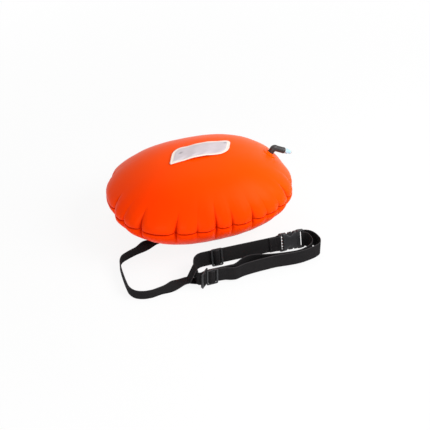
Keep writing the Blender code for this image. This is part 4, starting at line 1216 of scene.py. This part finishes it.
def makeNozzle(end, axis, side, across):
    n = nozzleShape
    base, tip = n["start"], n["start"] + n["length"]
    outline = [(n["bore"], base)]
    outline += [(radius, base + height) for radius, height in n["outside"]]
    outline += [(n["buttonHole"], tip), (n["buttonHole"], n["innerFloor"]), (n["bore"], n["innerFloor"])]
    bm = spunProfile(outline, n["steps"])
    tipLayer = bm.verts.layers.float.new("tip")
    for vert in bm.verts:
        radius = math.hypot(vert.co.x, vert.co.y)
        turn = math.atan2(vert.co.y, vert.co.x)
        share = (vert.co.z - base) / n["length"]
        if radius > n["bore"] + valveShape["gap"] and n["fluteFrom"] < share < n["fluteTo"]:
            press = n["fluteDepth"] * (0.5 + 0.5 * math.cos(turn * n["flutes"]))
            vert.co.x -= press * math.cos(turn)
            vert.co.y -= press * math.sin(turn)
        vert[tipLayer] = within((share - n["tipFrom"]) / n["tipBlur"])
    onFrame(bm, end, side, across, axis)
    turnOutwards(bm)
    newPiece(
        "valveNozzle", bm, nozzlePlastic, "nozzle", ["valve_nozzle"],
        sharpAngles["nozzle"],
    )


makeValve()
for nodeName, material in (
    ("valve_insert", sleevePlastic), ("valve_plunger", sleevePlastic), ("valve_seal", valveRubber),
    ("valve_spring", springSteel),
):
    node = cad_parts[nodeName]
    node.data.materials.clear()
    node.data.materials.append(material)
print("valve made")


# Belt: the strands as they lie, from the same places as the CAD source

# Shares of the way from the belt's left end to its right, and from its front strand to its back one
leftBendShares = (
    (0.125, 1.0), (0.095, 0.995), (0.066, 0.96), (0.038, 0.86), (0.018, 0.73), (0.004, 0.58),
    (0.0, 0.47), (0.0, 0.30), (0.0, 0.15), (0.0, 0.04),
)
frontCornerShares = (
    (0.0025, -0.003), (0.0079, -0.029), (0.0174, -0.047), (0.0284, -0.042), (0.0390, -0.022),
    (0.0490, -0.006), (0.0600, 0.0), (0.0900, 0.0), (0.1400, 0.0), (0.19, 0.0),
)
outerStrandShares = (
    (0.172, -0.045), (0.2117, -0.065), (0.243, -0.125), (0.2875, -0.165), (0.344, -0.090),
    (0.414, -0.040), (0.475, -0.015), (0.537, 0.0), (0.616, 0.012), (0.698, -0.024),
    (0.780, -0.048), (0.834, -0.030), (0.897, 0.030), (0.9415, 0.095), (0.9826, 0.215),
    (1.0, 0.43), (0.9937, 0.68), (0.970, 0.90), (0.938, 1.02), (0.915, 1.055),
)
innerStrandShares = (
    (0.9165, 0.925), (0.934, 0.83), (0.943, 0.66), (0.940, 0.46), (0.918, 0.275), (0.8815, 0.155),
    (0.834, 0.065), (0.780, 0.030), (0.698, 0.060), (0.616, 0.118), (0.537, 0.2097), (0.4866, 0.298),
    (0.439, 0.3355), (0.392, 0.306), (0.344, 0.2016), (0.306, 0.080),
)
lapShares = (0.75, 0.52, 0.42)
innerEndShares = (1.0, 0.94, 0.8, 0.5, 0.0)
wrapPoints = 8  # steps round a bar
sliderShape = {
    "height": 0.0445, "length": 0.0285, "wall": 0.0030,
    "sideBar": 0.0040, "centreBar": 0.0048, "edgeBar": 0.0030,
    "rearX": -0.0120, "frontX": -0.0447, "frontTurn": math.radians(2),
    "cornerInset": 0.0200, "cornerTurn": math.radians(48),
    "corner": 0.0050, "rounding": 0.0012,
    "gap": 0.0003, "slope": 0.4, "innerEnd": 0.30,
}
buckleShape = {
    "x": 0.1460, "length": 0.0445, "height": 0.0460, "depth": 0.0112, "wall": 0.0018,
    "bar": 0.0042, "slot": 0.0068, "strapClearance": 0.0015,
    "barDepth": 0.0070, "corner": 0.0040, "rounding": 0.0012,
    "plugBase": 0.0197, "plugBar": 0.0046, "plugSlot": 0.0062, "plugTaper": 0.42,
    "tongueLength": 0.0260, "tongueHeight": 0.0080, "tongueDepth": 0.0032,
    "tongueRounding": 0.0007, "tongueRoot": 0.001,
    "prongLength": 0.0232, "prongWall": 0.0028, "prongDepth": 0.0056, "prongInset": 0.0052,
    "prongRounding": 0.0006,
    "gap": 0.0003, "slack": 0.0007,
}


def beltPlace(xShare, yShare):
    x = beltShape["leftX"] + (beltShape["rightX"] - beltShape["leftX"]) * xShare
    y = beltShape["frontY"] + (beltShape["backY"] - beltShape["frontY"]) * yShare
    return Vector((x, y, strapMidZ))


def beltSide(i, point):
    share = (point.y - beltShape["frontY"]) / (beltShape["backY"] - beltShape["frontY"])
    ease = within((share - beltShape["leanStart"]) / beltShape["leanSpan"])
    lean = beltShape["lean"] * eased(ease)
    return Vector((0, math.sin(lean), math.cos(lean)))


def halfWeave():
    # A strap into a slider, as (along, off): from behind a side bar to the top of the centre bar
    s = sliderShape
    slot = (s["length"] - 2 * s["sideBar"] - s["centreBar"]) / 2
    middle = (s["centreBar"] + slot) / 2
    off = (s["wall"] + beltShape["wall"]) / 2 + s["gap"]
    return [
        (s["length"] / 2 - s["gap"], -off), (s["length"] / 2 - s["sideBar"] / 2, -off),
        (middle + slot * s["slope"], -off), (middle, 0.0), (middle - slot * s["slope"], off), (0.0, off),
    ]


def weave():
    half = halfWeave()
    return half + [(-u, v) for u, v in half[-2::-1]]


def onBorder(value, ends):
    return min(abs(value - end) for end in ends) < mergeReach


def sharpEdges(bm, degrees):
    limit = math.radians(degrees)
    return [edge for edge in bm.edges if len(edge.link_faces) == 2 and edge.calc_face_angle() > limit]


def roundEdges(bm, edges, offset, steps, clamp=False):
    bmesh.ops.bevel(
        bm, geom=edges, offset=offset, segments=steps, profile=0.5, affect="EDGES", material=-1,
        clamp_overlap=clamp,
    )


def thickenEvenly(bm, depth):
    # A flat shape gets its depth to both sides of Y = 0
    turnOutwards(bm)
    bmesh.ops.solidify(bm, geom=bm.faces[:], thickness=depth)
    low, high = min(vert.co.y for vert in bm.verts), max(vert.co.y for vert in bm.verts)
    bmesh.ops.translate(bm, verts=bm.verts, vec=(0, -(low + high) / 2, 0))
    turnOutwards(bm)


frameRounding = {"cornerSteps": 5, "edgeSteps": 3, "edgeAngle": 60}


def frameMesh(columns, rows, holes, depth, corner, rounding):
    # One grid cut open at its holes, rounded at its corners, thickened, then rounded along its edges
    countX, countZ = len(columns) - 1, len(rows) - 1
    bm = bmesh.new()
    bmesh.ops.create_grid(bm, x_segments=countX, y_segments=countZ, size=0.5)
    for vert in bm.verts:
        i, k = round((vert.co.x + 0.5) * countX), round((vert.co.y + 0.5) * countZ)
        vert.co = Vector((columns[i], 0, rows[k]))
    gone = []
    for face in bm.faces:
        middle = face.calc_center_median()
        for i, k in holes:
            if columns[i] < middle.x < columns[i + 1] and rows[k] < middle.z < rows[k + 1]:
                gone.append(face)
    bmesh.ops.delete(bm, geom=gone, context="FACES")
    ends, sides = (columns[0], columns[-1]), (rows[0], rows[-1])
    corners = [vert for vert in bm.verts if onBorder(vert.co.x, ends) and onBorder(vert.co.z, sides)]
    bmesh.ops.bevel(
        bm, geom=corners, offset=corner, segments=frameRounding["cornerSteps"], profile=0.5,
        affect="VERTICES", material=-1,
    )
    thickenEvenly(bm, depth)
    edges = sharpEdges(bm, frameRounding["edgeAngle"])
    roundEdges(bm, edges, rounding, frameRounding["edgeSteps"], clamp=True)
    turnOutwards(bm)
    return bm


def sliderMesh():
    s = sliderShape
    left = (-s["length"] / 2, -s["length"] / 2 + s["sideBar"], -s["centreBar"] / 2)
    reach = s["height"] / 2
    rows = (-reach, -reach + s["edgeBar"], reach - s["edgeBar"], reach)
    columns = left + tuple(-x for x in reversed(left))
    return frameMesh(columns, rows, ((1, 1), (3, 1)), s["wall"], s["corner"], s["rounding"])


def makeSlider(name, node, matrix, body):
    bm = sliderMesh()
    moveMesh(bm, matrix)
    newPiece(name, bm, blackPlastic, body, [node], sharpAngles["slider"])


def makeWrap(name, points, matrix, body, stands=()):
    # Webbing woven through a slider, which stands upright in the slider's own frame
    route = smoothRoute([Vector((u, -v, 0)) for u, v in points], beltShape["wrapStep"])
    bm = strapMesh(route, beltShape["width"], beltShape["wall"], Vector((0, 0, 1)))
    moveMesh(bm, matrix)
    newPiece(name, bm, beltWebbing, body, stands)


def roundBar(x, y, radius, start):
    # Half a turn round an upright bar, on the lean of the buckle
    drop = math.cos(beltShape["lean"])
    points = []
    for i in range(wrapPoints + 1):
        turn = start + math.pi * i / wrapPoints
        barSide = Vector((radius * math.cos(turn), radius * math.sin(turn) / drop, 0))
        points.append(Vector((x, y, strapMidZ)) + barSide)
    return points


def backStrapRoute():
    b = buckleShape
    wrapRadius = (b["bar"] + beltShape["wall"] + b["slack"]) / 2 + b["gap"]
    barX = b["x"] + b["bar"] / 2
    backY, lap = beltShape["backY"], beltShape["lapLength"]
    lapY = backY - (beltShape["wall"] + b["gap"]) / math.cos(beltShape["lean"])
    points = [Vector((barX - lap * share, lapY, strapMidZ)) for share in (1.0, *lapShares)]
    points += roundBar(barX, backY, wrapRadius, -math.pi / 2)
    points += [Vector((barX - lap * share, backY, strapMidZ)) for share in (*lapShares[::-1], 1.0)]
    points += [beltPlace(*place) for place in leftBendShares + frontCornerShares]
    points.append(Vector((beltShape["tailX"], beltShape["frontY"], strapMidZ)))
    return points


def frontSliderPlace():
    s = sliderShape
    frontY = beltShape["frontY"] - beltShape["wall"] - s["gap"]
    frontY -= s["length"] / 2 * math.sin(s["frontTurn"])
    frontY -= (s["wall"] + beltShape["wall"]) / 2 + s["gap"]
    along = Vector((math.cos(s["frontTurn"]), math.sin(s["frontTurn"]), 0))
    return Vector((s["frontX"], frontY, strapMidZ)), along, Vector((along.y, -along.x, 0))


def frontStrapRoute():
    b, s = buckleShape, sliderShape
    middle, along, off = frontSliderPlace()
    points = [middle + along * u + off * v for u, v in weave()[::-1]]
    points += [beltPlace(*place) for place in outerStrandShares]
    barX = b["x"] + b["length"] + b["gap"] + b["plugBase"] - b["plugBar"] / 2
    radius = (b["plugBar"] + beltShape["wall"] + b["slack"]) / 2 + b["gap"]
    points += roundBar(barX, beltShape["backY"], radius, math.pi / 2)
    points += [beltPlace(*place) for place in innerStrandShares]
    innerY = beltShape["frontY"] + beltShape["wall"] + b["gap"]
    innerEnd = s["frontX"] - s["length"] * s["innerEnd"]
    innerRun = beltShape["tailX"] - s["sideBar"] - innerEnd
    points += [Vector((innerEnd + innerRun * share, innerY, strapMidZ)) for share in innerEndShares]
    return points


def makeBelt():
    s = sliderShape
    for name, points, body, node in (
        ("beltBackStrap", backStrapRoute(), "root", "belt_back_strap"),
        ("beltFrontStrap", frontStrapRoute(), "plug", "belt_front_strap"),
    ):
        route = smoothRoute(points, beltShape["step"])
        bm = strapMesh(route, beltShape["width"], beltShape["wall"], beltSide)
        newPiece(name, bm, beltWebbing, body, [node])

    # The corner slider stands askew at the left end, with a tab of webbing in its near slot
    slot = (s["length"] - 2 * s["sideBar"] - s["centreBar"]) / 2
    along = Vector((math.cos(s["cornerTurn"]), math.sin(s["cornerTurn"]), 0))
    cornerPlace = Vector((beltShape["leftX"] + s["cornerInset"], beltShape["frontY"], strapMidZ))
    cornerPlace -= along * (s["centreBar"] + slot) / 2
    corner = Matrix.Translation(cornerPlace) @ Matrix.Rotation(s["cornerTurn"], 4, "Z")
    makeSlider("cornerSlider", "corner_slider", corner, "root")
    makeWrap("cornerTab", [(-u, v) for u, v in halfWeave()], corner, "root")

    leanMatrix = Matrix.Rotation(-beltShape["lean"], 4, "X")
    offStrap = beltShape["wall"] * 1.5 + 2 * s["gap"] + s["wall"] / 2
    rearPlace = Vector((s["rearX"], beltShape["backY"], strapMidZ))
    rear = Matrix.Translation(rearPlace + leanMatrix @ Vector((0, -offStrap, 0))) @ leanMatrix
    makeSlider("rearSlider", "rear_slider", rear, "back_slider")
    makeWrap("rearSliderWrap", weave(), rear, "back_slider", ["rear_slider_wrap"])

    front = Matrix.Translation(frontSliderPlace()[0]) @ Matrix.Rotation(s["frontTurn"], 4, "Z")
    makeSlider("frontSlider", "front_slider", front, "plug")


makeBelt()
print("belt made")


# Side-release buckle: the socket with its thumb scoops, the plug and its two springy prongs

scoopShape = {
    "x": 0.1738, "reach": 0.0102, "depth": 0.0085, "curve": 0.35,
    "openReach": 0.86, "openTurn": math.radians(20),
}
socketShape = {"sides": 72, "cuts": 40, "power": 5.0}  # the power squares the sleeve's section
toothShape = {
    "count": 5, "half": 0.0027, "halfDepth": 0.0030, "rounding": 0.0003, "turn": math.radians(45),
}
padShape = {
    # Along the prong and up from each named place, from its tip over the thumb pad to its root
    "rise": ((0.0, -0.0006), (0.0005, 0.0008)), "front": ((0.0011, -0.0030), (0.0025, -0.0012)),
    "middleDrop": -0.0004, "end": 0.0072,
    "back": ((-0.0030, 0.0), (-0.0008, -0.0010)), "fall": ((0.0004, 0.0012), (0.0030, 0.0)),
    "ribs": 5, "ribPitch": 0.0020, "ribHalf": 0.0004, "ribSink": 0.0016, "ribRise": 0.0002,
    "ribRounding": 0.00025, "edgeAngle": 50, "edgeSteps": 3,
}
plugRibs = {
    "count": 3, "start": 0.0022, "pitch": 0.0019, "half": 0.0004, "sink": 0.0005, "rise": 0.0003,
    "reach": 0.013, "rounding": 0.0002,
}


def scoopAt(x):
    # How far the socket's walls are scooped away over the thumb pads
    share = max(1 - abs(x - scoopShape["x"]) / scoopShape["reach"], 0.0)
    return scoopShape["depth"] * share * (1 + scoopShape["curve"] - scoopShape["curve"] * share)


def socketShell():
    # A rounded sleeve, closed at the strap's end, open at its mouth and beside the thumb pads
    b = buckleShape
    start, mouth = b["x"] + b["bar"] + b["slot"], b["x"] + b["length"]
    bm = bmesh.new()
    bmesh.ops.create_cone(
        bm, cap_ends=False, segments=socketShape["sides"], radius1=1.0, radius2=1.0, depth=1.0,
    )
    long = [edge for edge in bm.edges if abs(edge.verts[0].co.z - edge.verts[1].co.z) > 0.5]
    bmesh.ops.subdivide_edges(bm, edges=long, cuts=socketShape["cuts"], use_grid_fill=True)
    openReach = scoopShape["reach"] * scoopShape["openReach"]
    pads = []
    for face in bm.faces:
        middle = face.calc_center_median()
        x = start + (mouth - start) * (middle.z + 0.5)
        turn = abs(abs(math.atan2(middle.y, middle.x)) - math.pi / 2)
        if turn < scoopShape["openTurn"] and abs(x - scoopShape["x"]) < openReach:
            pads.append(face)
    bmesh.ops.delete(bm, geom=pads, context="FACES")
    power = 2 / socketShape["power"]
    for vert in bm.verts:
        x = start + (mouth - start) * (vert.co.z + 0.5)
        cosine, sine = vert.co.x, vert.co.y
        y = math.copysign(abs(cosine) ** power, cosine) * b["depth"] / 2
        z = math.copysign(abs(sine) ** power, sine) * (b["height"] / 2 - scoopAt(x))
        vert.co = Vector((x, y, z))
    left = [
        edge for edge in bm.edges
        if edge.is_boundary and all(vert.co.x < start + 1e-5 for vert in edge.verts)
    ]
    bmesh.ops.holes_fill(bm, edges=left, sides=0)
    turnOutwards(bm)
    bmesh.ops.solidify(bm, geom=bm.faces[:], thickness=b["wall"])
    turnOutwards(bm)
    return bm


def addMesh(bm, other):
    # Joins a second mesh into the first
    mesh = bpy.data.meshes.new("joined")
    other.to_mesh(mesh)
    other.free()
    bm.from_mesh(mesh)
    bpy.data.meshes.remove(mesh)


def addBlock(bm, low, high, rounding, segments=2, matrix=None):
    # A block with rounded edges, turned and placed by the matrix, and joined into the mesh
    other = bmesh.new()
    bmesh.ops.create_cube(other, size=1.0)
    for vert in other.verts:
        vert.co = Vector((low[i] + high[i]) / 2 + vert.co[i] * (high[i] - low[i]) for i in range(3))
    roundEdges(other, other.edges[:], rounding, segments)
    if matrix is not None:
        moveMesh(other, matrix)
    addMesh(bm, other)


def prongMesh():
    # The upper prong: a flat strip drawn into the arm and its thumb pad, thickened, with ribs on the pad
    b, p = buckleShape, padShape
    root = b["x"] + b["length"]
    tip, padEnd = root - b["prongLength"], scoopShape["x"] + p["end"]
    inner = b["height"] / 2 - b["wall"] - b["prongInset"] - b["prongWall"]
    outer = inner + b["prongWall"]
    padTop = b["height"] / 2 - b["gap"]
    stops = [(tip + run, outer + up) for run, up in p["rise"]]
    stops += [(tip + run, padTop + up) for run, up in p["front"]]
    stops += [(scoopShape["x"], padTop + p["middleDrop"])]
    stops += [(padEnd + run, padTop + up) for run, up in p["back"]]
    stops += [(padEnd + run, outer + up) for run, up in p["fall"]]
    stops += [(root, outer)]
    bm = bmesh.new()
    bmesh.ops.create_grid(bm, x_segments=len(stops) - 1, y_segments=1, size=0.5)
    for vert in bm.verts:
        x, top = stops[round((vert.co.x + 0.5) * (len(stops) - 1))]
        vert.co = Vector((x, 0, top if vert.co.y > 0 else inner))
    thickenEvenly(bm, b["prongDepth"])
    edges = sharpEdges(bm, p["edgeAngle"])
    roundEdges(bm, edges, b["prongRounding"], p["edgeSteps"], clamp=True)
    turnOutwards(bm)
    reach, half = b["prongDepth"] / 2 - b["prongRounding"], p["ribHalf"]
    for i in range(p["ribs"]):
        x = scoopShape["x"] + p["ribPitch"] * (i - (p["ribs"] - 1) / 2)
        low, high = (x - half, -reach, padTop - p["ribSink"]), (x + half, reach, padTop + p["ribRise"])
        addBlock(bm, low, high, p["ribRounding"])
    return bm


def makeBuckle():
    b, t, r = buckleShape, toothShape, plugRibs
    place = Matrix.Translation((0, beltShape["backY"], strapMidZ))
    place = place @ Matrix.Rotation(-beltShape["lean"], 4, "X")
    reach = b["height"] / 2
    inside = beltShape["width"] / 2 + b["strapClearance"] / 2
    slotStart = b["x"] + b["bar"]
    slotEnd = slotStart + b["slot"]

    # The socket: its sleeve, the bar that the strap is sewn round, and the teeth in its slot
    bm = socketShell()
    rows = (-reach, -inside, inside, reach)
    columns = (b["x"], slotStart, slotEnd, slotEnd + b["wall"])
    addMesh(bm, frameMesh(columns, rows, ((1, 1),), b["barDepth"], b["corner"], b["rounding"]))
    for i in range(t["count"]):
        z = inside * (2 * (i + 0.5) / t["count"] - 1)
        tooth = Matrix.Translation((slotEnd, 0, z)) @ Matrix.Rotation(t["turn"], 4, "Y")
        size = Vector((t["half"], t["halfDepth"], t["half"]))
        addBlock(bm, -size, size, t["rounding"], matrix=tooth)
    moveMesh(bm, place)
    sharp = sharpAngles["buckle"]
    newPiece("buckleSocket", bm, blackPlastic, "root", ["buckle_socket"], sharp)

    # The plug: its frame with the strap's bar, its grip ribs and its guide tongue
    base = b["x"] + b["length"] + b["gap"]
    barEnd = base + b["plugBase"]
    barStart = barEnd - b["plugBar"]
    columns = (base, barStart - b["plugSlot"], barStart, barEnd)
    bm = frameMesh(columns, rows, ((1, 1),), b["depth"], b["corner"], b["rounding"])
    for vert in bm.verts:
        share = within((vert.co.x - columns[1]) / (barEnd - columns[1]))
        vert.co.y *= 1 - b["plugTaper"] * share
    for i in range(r["count"]):
        x = base + r["start"] + r["pitch"] * i
        for side in (-1, 1):
            face = side * b["depth"] / 2
            low = (x - r["half"], face - r["sink"], -r["reach"])
            high = (x + r["half"], face + r["rise"], r["reach"])
            addBlock(bm, low, high, r["rounding"])
    size = Vector((0, b["tongueDepth"] / 2, b["tongueHeight"] / 2))
    low = Vector((base - b["tongueLength"], 0, 0)) - size
    high = Vector((base + b["tongueRoot"], 0, 0)) + size
    addBlock(bm, low, high, b["tongueRounding"], segments=3)
    moveMesh(bm, place)
    newPiece("bucklePlug", bm, blackPlastic, "plug", ["buckle_plug"], sharp)

    for name, node, body, side in (
        ("buckleProngUpper", "buckle_prong_upper", "upper_prong", 1),
        ("buckleProngLower", "buckle_prong_lower", "lower_prong", -1),
    ):
        bm = prongMesh()
        if side < 0:
            bmesh.ops.scale(bm, vec=(1, 1, -1), verts=bm.verts)
            bmesh.ops.reverse_faces(bm, faces=bm.faces)
        moveMesh(bm, place)
        newPiece(name, bm, blackPlastic, body, [node], sharp)


makeBuckle()
print("buckle made")


# Stitching: short threads set into the webbing

stitchShape = {
    "length": 0.0022, "width": 0.0006, "pitch": 0.0028, "sides": 6, "rings": 5,
    "lapMargin": 0.003, "lapStart": 0.004, "lapEnd": 0.38,
    "leashMargin": 0.0025, "leashRows": (0.0022, 0.0100),
}


def addStitch(bm, middle, along, off, length):
    # One thread, half sunk: a small ball drawn out along its line
    width = stitchShape["width"]
    axisV = off.cross(along).normalized()
    matrix = Matrix((along * length / 2, axisV * width / 2, off * width / 2)).transposed().to_4x4()
    matrix.translation = middle
    bmesh.ops.create_uvsphere(
        bm, u_segments=stitchShape["sides"], v_segments=stitchShape["rings"], radius=1.0, matrix=matrix,
    )


def stitchRow(bm, start, end, off):
    run = end - start
    count = max(round(run.length / stitchShape["pitch"]), 2)
    length = run.length / count * stitchShape["length"] / stitchShape["pitch"]
    for i in range(count):
        addStitch(bm, start + run * ((i + 0.5) / count), run.normalized(), off, length)


def makeStitches():
    b, s = buckleShape, stitchShape
    lean = beltShape["lean"]
    upward = Vector((0, math.sin(lean), math.cos(lean)))
    off = Vector((0, -math.cos(lean), math.sin(lean)))
    lapY = beltShape["backY"] - (beltShape["wall"] + b["gap"]) / math.cos(lean)
    lapFace = Vector((0, lapY, strapMidZ)) + off * beltShape["wall"] / 2
    reach = upward * (beltShape["width"] / 2 - s["lapMargin"])
    barX = b["x"] + b["bar"] / 2
    near = lapFace + Vector((barX - beltShape["lapLength"] + s["lapStart"], 0, 0))
    far = lapFace + Vector((barX - beltShape["lapLength"] * s["lapEnd"], 0, 0))
    bm = bmesh.new()
    for start, end in (
        (near - reach, near + reach), (far - reach, far + reach),
        (near - reach, far - reach), (near + reach, far + reach),
    ):
        stitchRow(bm, start, end, off)
    newPiece("lapStitches", bm, blackThread, "root")

    # Two rows and a cross where the leash is sewn to its loop
    off = Vector((0, 0, 1))
    reach = Vector((0, leashShape["width"] / 2 - s["leashMargin"], 0))
    face = leashEnd + off * leashShape["wall"] / 2
    near, far = [face - Vector((back, 0, 0)) for back in s["leashRows"]]
    bm = bmesh.new()
    for start, end in (
        (near - reach, near + reach), (far - reach, far + reach),
        (near - reach, far + reach), (near + reach, far - reach),
    ):
        stitchRow(bm, start, end, off)
    newPiece("leashStitches", bm, blackThread, "root")


makeStitches()
print("stitching made")


# Floor, light and world

lightSetup = {
    "floorSize": 16.0, "floorDrop": 0.0002, "floorColor": (0.86, 0.86, 0.86), "floorRoughness": 0.9,
    "floorGloss": 0.1, "floorGlow": 0.89, "shadowReach": (0.55, 1.30),
    "skyStrength": 0.44,
    # Name, place, target, size, power
    "lamps": (
        ("keyBox", (1.3, -0.9, 1.5), (0.0, -0.05, 0.08), (1.2, 1.2), 38.0),
        ("fillBox", (-1.1, -2.0, 0.55), (0.0, -0.05, 0.08), (1.6, 0.9), 16.0),
        ("topBox", (0.2, 0.7, 1.9), (0.0, 0.0, 0.10), (1.6, 1.0), 6.0),
    ),
}


def backgroundMask(tree):
    # 1 where the camera, a reflection or a clear piece sees the background
    path = tree.nodes.new("ShaderNodeLightPath")
    mask = mathNode(tree, "ADD", path.outputs["Is Camera Ray"], path.outputs["Is Glossy Ray"])
    return mathNode(tree, "ADD", mask, path.outputs["Is Transmission Ray"], clamp=True)


def addFloor():
    bm = bmesh.new()
    bmesh.ops.create_grid(bm, x_segments=8, y_segments=8, size=lightSetup["floorSize"] / 2)
    mesh = bpy.data.meshes.new("studioFloor")
    bm.to_mesh(mesh)
    bm.free()
    floor = bpy.data.objects.new("studioFloor", mesh)
    floor.location = (0, 0, -lightSetup["floorDrop"])
    scene.collection.objects.link(floor)
    material, tree, shader = newMaterial(
        "floorWhite", lightSetup["floorColor"], lightSetup["floorRoughness"],
    )
    setInputs(tree, shader, {"Specular IOR Level": lightSetup["floorGloss"]})
    glow = tree.nodes.new("ShaderNodeEmission")
    setInputs(tree, glow, {"Color": (1, 1, 1, 1), "Strength": 1.0})
    mix = tree.nodes.new("ShaderNodeMixShader")
    # The floor keeps the shadow near the buoy and is plain white farther out
    away = tree.nodes.new("ShaderNodeVectorMath")
    away.operation = "LENGTH"
    tree.links.new(objectCoords(tree), away.inputs[0])
    near, far = lightSetup["shadowReach"]
    glowing = rangeNode(tree, away.outputs["Value"], near, far, lightSetup["floorGlow"], 1.0)
    tree.links.new(mathNode(tree, "MULTIPLY", backgroundMask(tree), glowing), mix.inputs[0])
    tree.links.new(shader.outputs[0], mix.inputs[1])
    tree.links.new(glow.outputs[0], mix.inputs[2])
    tree.links.new(mix.outputs[0], tree.nodes["Material Output"].inputs["Surface"])
    mesh.materials.append(material)


def addWorld():
    world = bpy.data.worlds.new("studio")
    scene.world = world
    world.use_nodes = True
    tree = world.node_tree
    background = tree.nodes["Background"]
    sky = lightSetup["skyStrength"]
    strength = mathNode(tree, "MULTIPLY_ADD", backgroundMask(tree), 1.0 - sky, sky)
    setInputs(tree, background, {"Color": (1, 1, 1, 1), "Strength": strength})


def addSoftbox(name, location, target, size, power):
    data = bpy.data.lights.new(name, "AREA")
    data.shape = "RECTANGLE"
    data.size, data.size_y = size
    data.energy = power
    lamp = bpy.data.objects.new(name, data)
    lamp.location = location
    lamp.rotation_euler = (Vector(target) - Vector(location)).to_track_quat("-Z", "Y").to_euler()
    scene.collection.objects.link(lamp)


addFloor()
addWorld()
for lamp in lightSetup["lamps"]:
    addSoftbox(*lamp)
print("studio lit")
